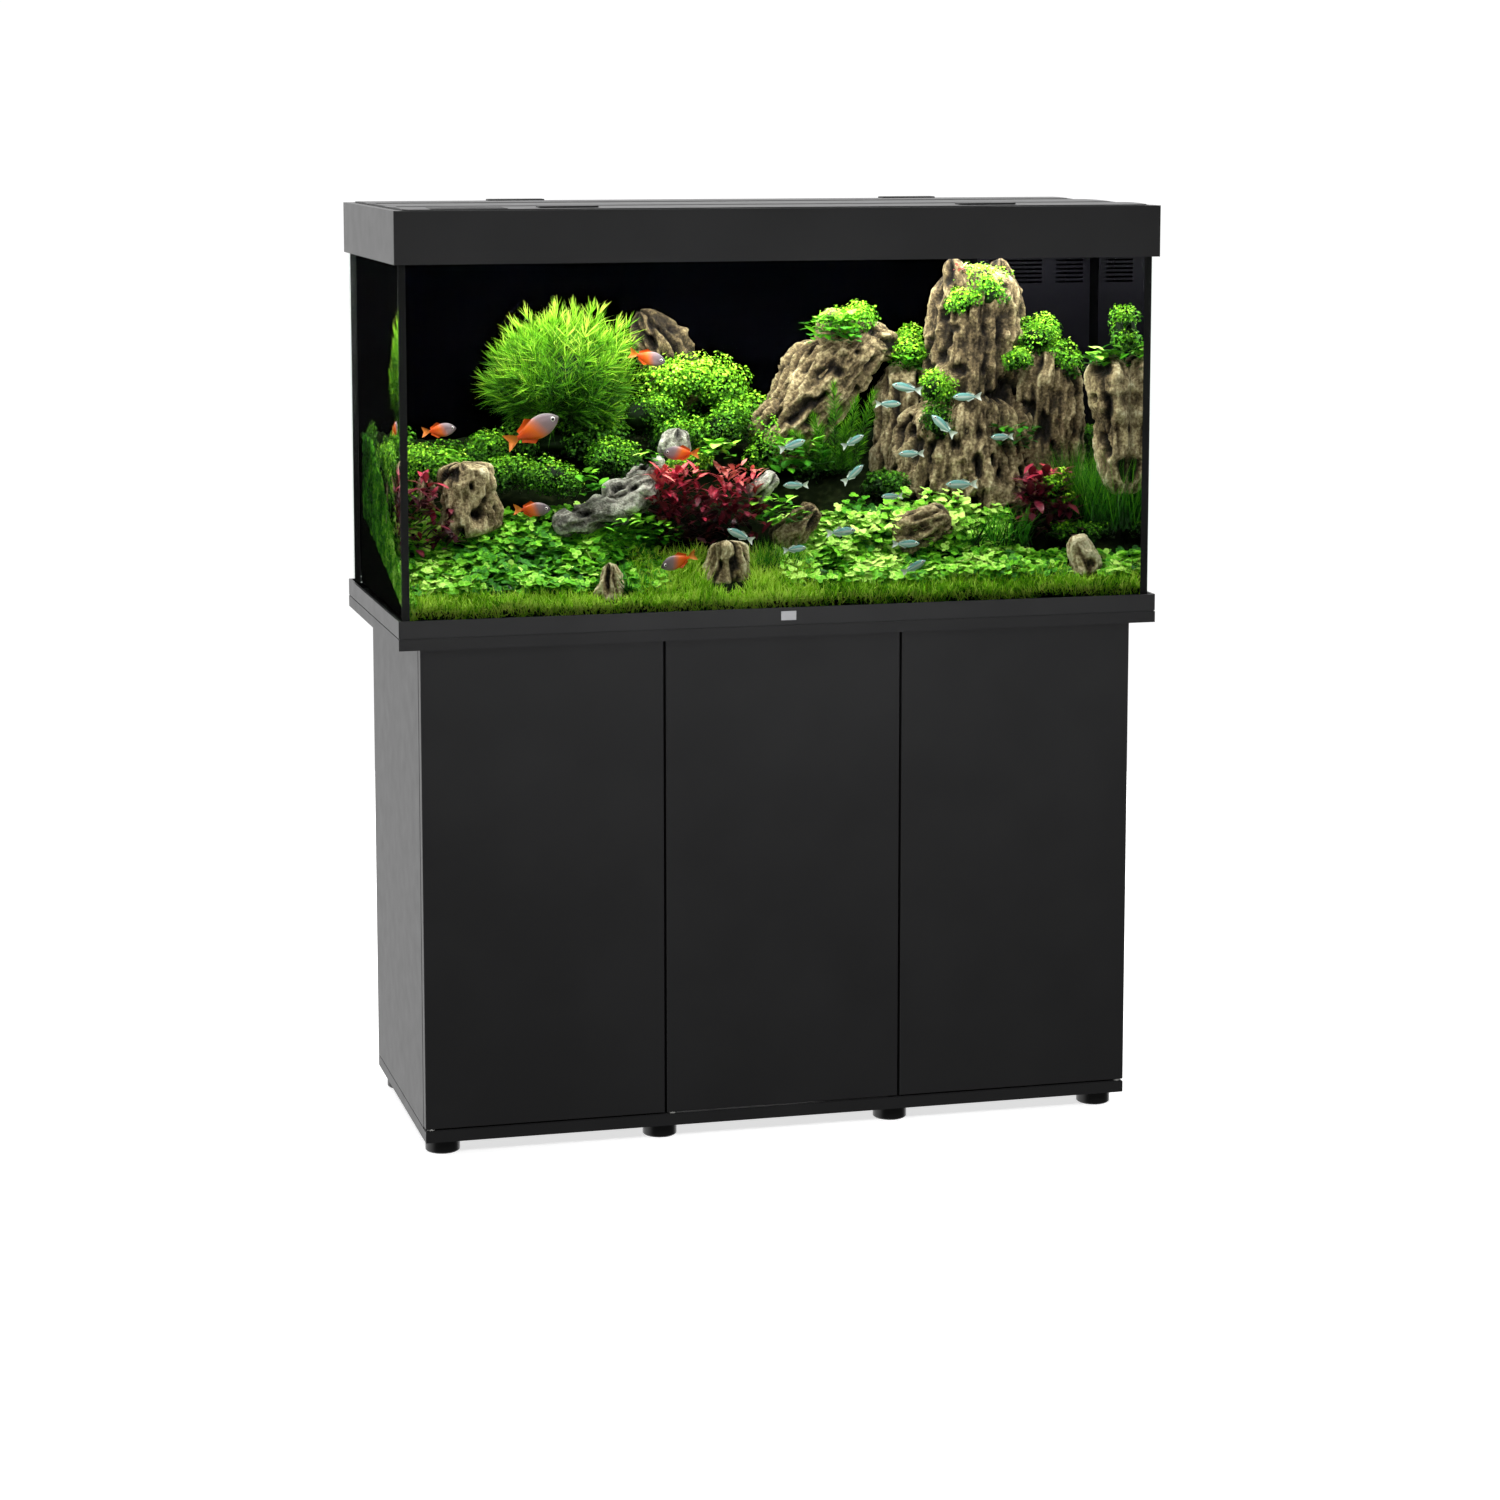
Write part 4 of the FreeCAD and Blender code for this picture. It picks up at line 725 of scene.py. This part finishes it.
def add_carpet(heap, seed, x_span, y_span, density, height, lift, width=0.0009, sink=0.0):
    """Fine grass over part of the bed."""
    rng = np.random.default_rng(seed)
    at = bed_places(rng, density, x_span, y_span) - [0, 0, sink]
    count = len(at)
    normals = unit(rng.normal(0, 0.42, (count, 3)) + [0, -0.25, 1])
    tall = height * rng.uniform(0.5, 1.4, count)
    sizes = np.stack([width * rng.uniform(0.8, 1.4, count), tall, tall], axis=1)
    patches = rough_noise(at, 0.03, seed, 3)
    tones = 0.64 + 0.35 * patches + rng.normal(0, 0.19, count) + lift
    scatter(heap, BLADE, at, spun(rng, normals), sizes, tones)


def make_carpet(material):
    grass = Heap()
    add_carpet(grass, 201, (-0.588, 0.06), (-0.2385, -0.205), 240000, 0.018, 0.2)
    add_carpet(grass, 202, (-0.588, -0.47), (-0.215, -0.17), 200000, 0.018, 0.18)
    add_carpet(grass, 203, (-0.23, 0.06), (-0.21, -0.13), 200000, 0.024, 0.22)
    add_carpet(grass, 204, (0.06, 0.588), (-0.2385, -0.19), 240000, 0.017, 0.04)
    # The two strips along the front glass have their lift raised as painted light, brightening blades that
    # stand in shade there.
    add_carpet(grass, 205, (-0.588, 0.06), (-0.2395, -0.236), 900000, 0.02, 0.34, sink=0.01)
    add_carpet(grass, 206, (0.06, 0.588), (-0.2395, -0.236), 900000, 0.02, 0.14, sink=0.01)
    grass.piece("grass_carpet", material)


def add_clover(heap, seed, x_span, y_span, density, rise, lift):
    """Three round leaflets on each stalk, held over the bed."""
    rng = np.random.default_rng(seed)
    at = bed_places(rng, density, x_span, y_span)
    count = len(at)
    patches = rough_noise(at, 0.05, seed, 3)
    lifted = rise * (1 + 0.9 * patches + rng.uniform(-0.6, 0.5, count))
    heads = at + np.stack([rng.normal(0, 0.002, count), rng.normal(-0.002, 0.002, count), lifted], axis=1)
    normals = unit(rng.normal(0, 0.3, (count, 3)) + [0, -0.35, 1])
    spins = rng.uniform(0, TURN, count)
    size = 0.0042 * rng.uniform(0.75, 1.35, count)
    # Leaflets held higher are lighter and lower ones darker: painted light on top of the cover and painted
    # shade beneath it.
    tones = 0.6 + 0.3 * patches + 14 * (lifted - rise) + rng.normal(0, 0.13, count) + lift
    for leaflet in range(3):
        turns = frames(normals, spins + leaflet * TURN / 3)
        centres = heads + turns[:, :, 0] * (size * 0.95)[:, None]
        scatter(heap, ROUND_LEAF, centres, turns, size, tones + rng.normal(0, 0.05, count))
    stalk = np.stack([np.full(count, 0.0003), lifted, lifted], axis=1)
    scatter(heap, NEEDLE, at, frames(normals, spins), stalk, np.full(count, 0.25))


def add_side_leaves(heap, seed, count):
    """Leaves between the left pane and the side of the bed, darker towards the back."""
    rng = np.random.default_rng(seed)
    y = -0.238 + 0.44 * rng.uniform(0, 1, count) ** 1.2
    x = rng.uniform(TANK_LEFT + 0.002, TANK_LEFT + 0.012, count)
    low = TANK_FLOOR + 0.004 + 0.25 * (y + 0.24)
    z = low + (ground(x, y) + 0.016 - low) * rng.uniform(0, 1, count)
    at = np.stack([x, y, z], axis=1)
    normals = unit(rng.normal(0, 0.4, (count, 3)) + [-0.8, -0.3, 0.5])
    tones = 0.86 - 1.3 * (y + 0.24) + 0.3 * rough_noise(at, 0.03, seed, 3) + rng.normal(0, 0.12, count)
    turns = spun(rng, normals)
    scatter(heap, ROUND_LEAF, at, turns, 0.0042 * rng.uniform(0.7, 1.3, count), tones)


def make_clover(material):
    clover = Heap()
    add_clover(clover, 301, (-0.585, -0.18), (-0.205, -0.06), 60000, 0.012, 0.0)
    add_clover(clover, 302, (0.01, 0.4), (-0.205, -0.08), 60000, 0.013, 0.06)
    add_clover(clover, 303, (0.13, 0.33), (-0.15, -0.08), 50000, 0.034, 0.04)
    add_clover(clover, 304, (0.38, 0.585), (-0.212, -0.15), 45000, 0.01, 0.0)
    clover.piece("clover_cover", material)
    side = Heap()
    add_side_leaves(side, 305, 8000)
    side.piece("side_leaves", material)


def add_tuft(heap, seed, centre, spread, count, height, width, lift, droop=0.5):
    """A tuft of long grass from one foot."""
    rng = np.random.default_rng(seed)
    at = np.array(centre) + rng.normal(0, 1, (count, 3)) * [spread, spread, 0.002]
    normals = unit(rng.normal(0, droop, (count, 3)) * [1, 0.7, 0] + [0, -0.1, 1])
    tall = height * rng.uniform(0.5, 1.15, count)
    sizes = np.stack([np.full(count, width), tall, tall], axis=1)
    tones = 0.4 + rng.normal(0, 0.14, count) + lift
    scatter(heap, BLADE, at, spun(rng, normals), sizes, tones)


def make_grasses(material):
    grass = Heap()
    for index in range(26):
        x = 0.505 + 0.0032 * index
        y = -0.06 - 0.0045 * ((index * 7) % 13)
        add_tuft(grass, 400 + index, (x, y, 0.935), 0.008, 60, 0.125, 0.0006, 0.06, 0.3)
    by_front_stone = ((-0.245, -0.205, 0.034), (-0.215, -0.198, 0.03), (-0.285, -0.19, 0.026))
    for index, (x, y, tall) in enumerate(by_front_stone):
        add_tuft(grass, 440 + index, (x, y, 0.868), 0.004, 46, tall, 0.0009, 0.12)
    for index, x in enumerate((0.335, 0.365, 0.395, 0.415)):
        add_tuft(grass, 450 + index, (x, -0.14, 0.915), 0.006, 42, 0.07, 0.0012, 0.02)
    for index, x in enumerate((-0.02, 0.0, 0.022)):
        add_tuft(grass, 460 + index, (x, -0.165, 0.89), 0.008, 70, 0.052, 0.0006, 0.1)
    grass.piece("tall_grasses", material)


def add_sprig(heap, rng, start, end, reach, whorls, needles, tone):
    """Whorls of fine needles along the last part of a stem."""
    start, end = np.array(start), np.array(end)
    axis = unit(end - start)
    count = whorls * needles
    along = np.repeat(np.linspace(0, 1, whorls), needles)
    at = start + np.outer(along, end - start)
    spins = rng.uniform(0, TURN, count)
    flare = np.interp(along, (0, 0.8, 1), (1.0, 0.8, 0.25)) + rng.normal(0, 0.12, count)
    turns = frames(np.tile(axis, (count, 1)), spins)
    ways = unit(turns[:, :, 0] * flare[:, None] + axis * 0.75)
    tall = reach * rng.uniform(0.7, 1.15, count) * np.interp(along, (0, 0.7, 1), (1, 1, 0.7))
    sizes = np.stack([np.full(count, 0.00055), tall, tall], axis=1)
    tones = tone + 0.22 * along + rng.normal(0, 0.1, count)
    scatter(heap, NEEDLE, at, spun(rng, ways), sizes, tones)


BUSH_CENTRE = (-0.308, 0.045, 1.172)
BUSH_RADII = (0.118, 0.07, 0.1)
BUSH_SPRIGS = 300
FERN_FOOT = (0.125, -0.05, 1.035)
FERN_STEMS = (  # lean to the right, height
    (-0.03, 0.085),
    (-0.005, 0.135),
    (0.022, 0.11),
    (0.045, 0.12),
    (-0.055, 0.06),
    (0.01, 0.07),
)


def make_bush(material):
    """The round hair-leaved bush, and the dark feathery stems under the arch."""
    bush = Heap()
    rng = np.random.default_rng(500)
    ways = sphere_points(rng, BUSH_SPRIGS, -0.85)
    swell = 1 + 0.42 * rough_noise(ways, 0.6, 501, 3) + rng.uniform(-0.18, 0.08, BUSH_SPRIGS)
    swell *= np.interp(ways[:, 2], (-0.8, 0.1), (0.62, 1.0))
    tips = np.array(BUSH_CENTRE) + ways * np.array(BUSH_RADII) * swell[:, None]
    foot = np.array(BUSH_CENTRE) - [0, 0, 0.06]
    for tip, way, size in zip(tips, ways, swell):
        start = foot + (tip - foot) * 0.72
        # Sprigs pointing up or reaching further out are lighter and inner ones darker: painted light from
        # above and painted shade inside the bush.
        tone = 0.38 + 0.13 * way[2] + 0.4 * (size - 1) + rng.normal(0, 0.12)
        add_sprig(bush, rng, start, tip, 0.042, 4, 9, tone)
    # A near-black core in the middle of the bush: painted shade.
    add_core(bush, BUSH_CENTRE, np.array(BUSH_RADII) * 0.66, 502, 0.04)
    bush.piece("hair_bush", material)

    fern = Heap()
    for lean, tall in FERN_STEMS:
        end = np.array(FERN_FOOT) + [lean * 1.3, -0.004, tall]
        start = np.array(FERN_FOOT) + [lean * 0.5, 0.0, 0.0]
        add_sprig(fern, rng, start, end, 0.022, 26, 12, 0.36)
    fern.piece("feather_fern", material)


def add_rosette(heap, seed, centre, count, leaf, spread, lift, shape=OVAL_LEAF, upright=0.6):
    """Leaves that rise and spread from a foot."""
    rng = np.random.default_rng(seed)
    at = np.array(centre) + rng.uniform(-1, 1, (count, 3)) * np.array(spread)
    turn = rng.uniform(0, TURN, count)
    climb = rng.uniform(-0.1, 1.0, count) * upright * 1.6
    forward = unit(np.stack([np.cos(turn), np.sin(turn), climb], axis=1))
    level = np.stack([-np.sin(turn), np.cos(turn), np.zeros(count)], axis=1)
    turns = np.stack([forward, level, np.cross(forward, level)], axis=2)
    sizes = leaf * rng.uniform(0.65, 1.15, count)
    height = (at[:, 2] - centre[2]) / max(spread[2], 1e-6)
    # Leaves higher in the clump are lighter: painted light at its top and painted shade lower down.
    tones = 0.55 + 0.18 * height + rng.normal(0, 0.09, count) + lift
    scatter(heap, shape, at, turns, sizes, tones)


ROSETTES = (  # centre, leaves, leaf length, spread, lift of tone
    ((0.125, -0.02, 1.262), 90, 0.02, (0.04, 0.018, 0.022), 0.1),
    ((-0.505, -0.02, 1.062), 40, 0.022, (0.032, 0.02, 0.018), 0.12),
    ((0.055, -0.075, 1.062), 60, 0.024, (0.045, 0.02, 0.026), 0.0),
    ((-0.08, -0.11, 1.078), 34, 0.026, (0.022, 0.014, 0.014), 0.16),
    ((-0.195, -0.08, 1.062), 22, 0.02, (0.024, 0.012, 0.01), 0.02),
    ((-0.285, -0.115, 1.03), 20, 0.022, (0.018, 0.012, 0.02), 0.08),
    ((0.01, -0.15, 0.985), 60, 0.02, (0.04, 0.02, 0.018), 0.1),
    ((0.56, -0.125, 1.212), 70, 0.026, (0.028, 0.028, 0.014), 0.1),
    ((0.415, -0.07, 1.085), 44, 0.018, (0.03, 0.012, 0.018), -0.14),
    ((-0.205, -0.13, 0.955), 110, 0.02, (0.05, 0.026, 0.024), 0.06),
    ((0.46, -0.1, 0.985), 20, 0.018, (0.04, 0.02, 0.014), 0.0),
    ((0.262, 0.005, 1.205), 26, 0.022, (0.026, 0.01, 0.016), 0.08),
)
RED_ROSETTES = (
    ((-0.15, -0.118, 1.02), 150, 0.026, (0.036, 0.024, 0.028), 0.22),
    ((-0.14, -0.122, 0.965), 190, 0.028, (0.046, 0.028, 0.034), -0.2),
    ((-0.05, -0.112, 1.03), 90, 0.022, (0.034, 0.02, 0.022), 0.4),
    ((-0.055, -0.118, 0.975), 150, 0.028, (0.042, 0.026, 0.036), -0.05),
    ((0.454, -0.118, 1.004), 80, 0.038, (0.034, 0.018, 0.026), -0.08),
    ((0.458, -0.124, 0.955), 90, 0.036, (0.04, 0.02, 0.034), -0.2),
    ((-0.55, -0.118, 1.01), 46, 0.028, (0.02, 0.018, 0.034), -0.1),
    ((-0.535, -0.122, 0.965), 60, 0.028, (0.034, 0.02, 0.028), -0.18),
    ((0.33, -0.04, 1.352), 14, 0.012, (0.008, 0.008, 0.006), 0.3),
)


def make_leafy(green, red):
    leafy = Heap()
    for index, (centre, count, leaf, spread, lift) in enumerate(ROSETTES):
        add_rosette(leafy, 600 + index, centre, count, leaf, spread, lift)
    leafy.piece("leafy_clumps", green)
    reds = Heap()
    for index, (centre, count, leaf, spread, lift) in enumerate(RED_ROSETTES):
        add_rosette(reds, 640 + index, centre, count, leaf, spread, lift, LONG_LEAF, 1.1)
    reds.piece("red_clumps", red, ["red_plants"])


# ---------------------------------------------------------------- fish
def loose_parts(node):
    """The separate solids of a CAD node, each as its points."""
    mesh = NODES[node].data
    points = np.array([v.co for v in mesh.vertices])
    keys = {}
    label = np.array([keys.setdefault(tuple(p), len(keys)) for p in points.round(6)])
    parent = list(range(len(keys)))

    def root(index):
        while parent[index] != index:
            parent[index] = parent[parent[index]]
            index = parent[index]
        return index

    for polygon in mesh.polygons:
        corners = [label[v] for v in polygon.vertices]
        for corner in corners[1:]:
            parent[root(corner)] = root(corners[0])
    owner = np.array([root(index) for index in label])
    parts = [points[owner == one] for one in np.unique(owner)]
    return sorted(parts, key=lambda part: part[:, 0].mean())


def swimmer(points):
    """A CAD fish's middle, the way it swims, and its length; it is fatter towards its head."""
    middle = (points.min(axis=0) + points.max(axis=0)) / 2
    way = np.linalg.svd(points - middle)[2][0]
    along = (points - middle) @ way
    girth = np.linalg.norm(points - middle - np.outer(along, way), axis=1)
    if girth[along > 0].sum() / (along > 0).sum() < girth[along < 0].sum() / (along < 0).sum():
        way = -way
    return middle, way, along.max() - along.min()


def fin_plate(heap, place, outline, thickness, tone):
    """A thin closed fin with an outline of (along, up) points."""
    count = len(outline)
    near = np.array([(x, -thickness, z) for x, z in outline])
    far = near * [1, -1, 1]
    ring = np.arange(count)
    after = (ring + 1) % count
    fan = np.stack([np.zeros(count - 2, int), np.arange(1, count - 1), np.arange(2, count)], axis=1)
    rim = np.stack([ring, after, after + count, ring + count], axis=1)
    rim = np.concatenate([rim[:, :3], rim[:, [0, 2, 3]]])
    faces = np.concatenate([fan, fan[:, ::-1] + count, rim])
    heap.add(place(np.concatenate([near, far])), faces, tone)


def add_eye(heap, place, x, z, side, radius, y):
    """A domed eye with a dark pupil and a pale ring."""
    rows, around = 6, 14
    tilt, turn = pairs(np.linspace(0.02, 1.45, rows), full_turn(around))
    out = radius * np.sin(tilt)
    dome = side * (y + radius * 0.8 * np.cos(tilt))
    local = np.stack([x + out * np.cos(turn), dome, z + out * np.sin(turn)], axis=1)
    tones = np.where(np.sin(tilt) < 0.66, 0.1, 0.9)
    add_tube(heap, place(local).reshape(rows, around, 3), tones.reshape(rows, around))


FISH_WIDTH = 0.42  # of a body, over its depth


def make_fish(heap, eyes, points, depth, blue):
    """A fish in place of its CAD spindle: a deep body, a tail, a fin above and below, two eyes."""
    rows, around = 20, 16
    middle, way, length = swimmer(points)
    up = unit(np.array([0.0, 0.0, 1.0]) - way * way[2])
    side = np.cross(up, way)

    def place(local):
        return middle + local @ np.stack([way, side, up])

    stations = np.linspace(0, 1, rows)
    half = depth * length * np.sin(math.pi * stations**0.85) ** 0.85
    half = np.maximum(half, np.interp(stations, (0, 0.06, 0.8, 1), (0.006, 0.02, 0.045, 0.04)) * length)
    nose, tail_root = 0.5 * length, -0.28 * length
    x = nose + (tail_root - nose) * stations
    turn = full_turn(around)
    across = np.outer(half * FISH_WIDTH, np.cos(turn))
    rise = np.outer(half, np.sin(turn)) - 0.006 * length
    body = np.stack([np.repeat(x[:, None], around, axis=1), across, rise], axis=2)
    back = np.tile(np.sin(turn), (rows, 1))
    if blue:
        stripe = 0.35 * (np.abs(back) < 0.3)
        tones = 0.55 - 0.3 * back * (back > 0) + stripe - 0.1 * stations[:, None]
        fin_tone, tail_tone = 0.85, 0.9
    else:
        tones = np.clip(stations[:, None] * 0.95 - 0.1 * back, 0, 0.86)
        fin_tone, tail_tone = 0.74, 0.95
    add_tube(heap, place(body.reshape(-1, 3)).reshape(rows, around, 3), tones)

    thickness = 0.004 * length
    half_fork = [(-0.27, 0.035), (-0.38, 0.1), (-0.5, 0.15)]
    fork = half_fork + [(-0.44, 0.0)] + [(a, -b) for a, b in reversed(half_fork)]
    dorsal = [(0.06, depth * 0.9), (-0.04, depth + 0.035), (-0.16, depth * 0.8)]
    dorsal += [(-0.25, depth * 0.55), (-0.22, 0.03), (0.0, 0.05)]
    anal = [(a * 0.95, -b) for a, b in dorsal]
    for outline, tone in ((fork, tail_tone), (dorsal, fin_tone), (anal, fin_tone)):
        fin_plate(heap, place, [(a * length, b * length) for a, b in outline], thickness, tone)
    eye_x = 0.375 * length
    eye_y = FISH_WIDTH * float(np.interp(nose - eye_x, nose - x, half)) - 0.01 * length
    for one in (-1, 1):
        add_eye(eyes, place, eye_x, 0.018 * length, one, 0.04 * length, eye_y)


def make_shoal(orange, blue, eye):
    eyes = Heap()
    for name, node, material, slot, depth in (
        ("orange_shoal", "fish_orange", orange, "orange_fish", 0.185),
        ("blue_shoal", "fish_blue", blue, "blue_fish", 0.135),
    ):
        heap = Heap()
        for points in loose_parts(node):
            make_fish(heap, eyes, points, depth, node == "fish_blue")
        heap.piece(name, material, [node])
    eyes.piece("fish_eyes", eye)


# ---------------------------------------------------------------- water
def make_water(material):
    """The water, with a faintly rippled top that climbs a little at the glass."""
    columns, rows = 120, 50
    x = np.linspace(TANK_LEFT + GAP, TANK_RIGHT - GAP, columns)
    y = np.linspace(TANK_FRONT + GAP, TANK_BACK - GAP, rows)
    flat_y, flat_x = pairs(y, x)
    edge = np.minimum.reduce([flat_x - x[0], x[-1] - flat_x, flat_y - y[0], y[-1] - flat_y])
    flat = np.stack([flat_x, flat_y, np.zeros(flat_x.size)], axis=1)
    ripple = 0.0008 * noise(flat, 0.05, 40) + 0.002 * np.exp(-edge / 0.002)
    tops = flat + np.outer(WATER_TOP + ripple, [0, 0, 1])
    lows = flat + [0, 0, TANK_FLOOR + GAP]
    heap = Heap()
    add_slab(heap, tops, lows, rows, columns)
    heap.piece("water", material, smooth=False, inset=GAP)


# ---------------------------------------------------------------- studio
def lamp(name, kind, place, turn, energy, **settings):
    """A lamp turned by degrees about X, Y and Z."""
    data = bpy.data.lights.new(name, kind)
    data.energy = energy
    for setting, value in settings.items():
        setattr(data, setting, value)
    made = bpy.data.objects.new(name, data)
    made.location = place
    made.rotation_euler = [math.radians(angle) for angle in turn]
    bpy.context.scene.collection.objects.link(made)
    return made


def strip_lamp(name, place, turn, energy, wide, deep):
    return lamp(name, "AREA", place, turn, energy, shape="RECTANGLE", size=wide, size_y=deep)


def make_world():
    """White behind the object and on its left, dark in front of it; the camera sees it all white."""
    world = bpy.data.worlds.new("studio")
    bpy.context.scene.world = world
    world.use_nodes = True
    tree = world.node_tree
    tree.nodes.clear()
    way = add_node(tree, "TexCoord").outputs["Generated"]
    dot = {0: way, 1: (-0.3, 0.93, 0.2)}
    facing = add_node(tree, "VectorMath", dot, operation="DOT_PRODUCT").outputs["Value"]
    span = {"Value": facing, "From Min": -0.35, "From Max": 0.45, "To Min": 0.1, "To Max": 1.14}
    level = add_node(tree, "MapRange", span, interpolation_type="SMOOTHSTEP").outputs[0]
    lit = add_node(tree, "Background", {"Color": (1, 1, 1, 1), "Strength": level})
    seen = add_node(tree, "Background", {"Color": (1, 1, 1, 1), "Strength": 1.05})
    camera_ray = add_node(tree, "LightPath").outputs["Is Camera Ray"]
    shares = {0: camera_ray, 1: lit.outputs[0], 2: seen.outputs[0]}
    mixed = add_node(tree, "MixShader", shares)
    add_node(tree, "OutputWorld", {"Surface": mixed.outputs[0]})


def make_floor():
    """A round pale floor, lit from within like a light table."""
    sides, radius = 96, 3.0
    rim = [(radius * math.cos(a), radius * math.sin(a), 0) for a in full_turn(sides)]
    mesh = bpy.data.meshes.new("floor")
    mesh.from_pydata(rim, [], [tuple(range(sides))])
    shader = Shader("floor")
    tint = shader.ramp(shader.noise(3.0), [(0.3, grey(0.86)), (0.7, grey(0.88))])
    glow = {"Emission Color": (1, 1, 1, 1), "Emission Strength": 0.7}
    mesh.materials.append(shader.finish({"Base Color": tint, "Roughness": 0.9, **glow}))
    floor = bpy.data.objects.new("floor", mesh)
    bpy.context.scene.collection.objects.link(floor)
    floor.visible_diffuse = False
    floor.visible_glossy = False


def make_camera():
    data = bpy.data.cameras.new("camera")
    data.lens = 84.86
    data.sensor_width = 36.0
    data.shift_y = -0.12
    camera = bpy.data.objects.new("camera", data)
    camera.location = (-1.437, -5.479, 1.608)
    camera.rotation_euler = (math.radians(90 - 7.44), 0, math.radians(-14.77))
    bpy.context.scene.collection.objects.link(camera)
    bpy.context.scene.camera = camera


def make_studio():
    make_world()
    make_floor()
    make_camera()
    lamp("overhead", "SUN", (0, 0, 3), (0, 0, 0), 1.25, angle=math.radians(50))
    strip_lamp("front_fill", (-1.2, -3.2, 2.6), (58, 0, -20), 14.0, 2.4, 1.2)
    low_fill = strip_lamp("low_fill", (0.1, -1.35, 0.88), (90, 0, 0), 14.5, 1.6, 0.3)
    low_fill.visible_glossy = False
    low_fill.visible_transmission = False
    wide = TANK_RIGHT - TANK_LEFT - 0.04
    high = WATER_TOP - 0.004
    front = TANK_FRONT + 0.012
    strip_lamp("tank_light", (0, -0.03, high), (0, 0, 0), 7.0, wide, 0.16)
    strip_lamp("tank_front_light", (0, front, high), (42, 0, 0), 3.2, wide, 0.012)
    bpy.context.scene.view_settings.view_transform = "Standard"


# ---------------------------------------------------------------- the whole
finish_cabinet()
finish_tank()
green = toned("green_leaf", GREENS, 0.5, 0.06, 300.0, 0.0003, specular=0.12)
tuft_green = toned("tuft_leaf", CUSHION_GREENS, 0.55, 0.06, 300.0, 0.0003, specular=0.08)
stone_brown = toned("stone_brown", STONES, 0.85, 0.42, 210.0, 0.004)
stone_grey = toned("stone_grey", GREY_STONES, 0.85, 0.4, 210.0, 0.004)
make_bed(toned("soil", SOIL, 0.9, 0.05, 500.0, 0.001, specular=0.02))
make_stones(stone_brown, stone_grey)
make_cushions(tuft_green)
make_carpet(toned("grass_leaf", GRASS_GREENS, 0.6, 0.06, 300.0, 0.0003, specular=0.03))
make_clover(green)
make_grasses(green)
make_bush(tuft_green)
make_leafy(green, toned("red_leaf", REDS, 0.4, 0.08, 250.0, 0.0003))
make_shoal(
    toned("orange_fish", ORANGE_FISH, 0.3, 0.05, 900.0, 0.0002),
    toned("blue_fish", BLUE_FISH, 0.25, 0.08, 900.0, 0.0002),
    toned("fish_eye", EYES, 0.15, 0.0, 400.0, 0.0),
)
make_water(water_material())
make_studio()
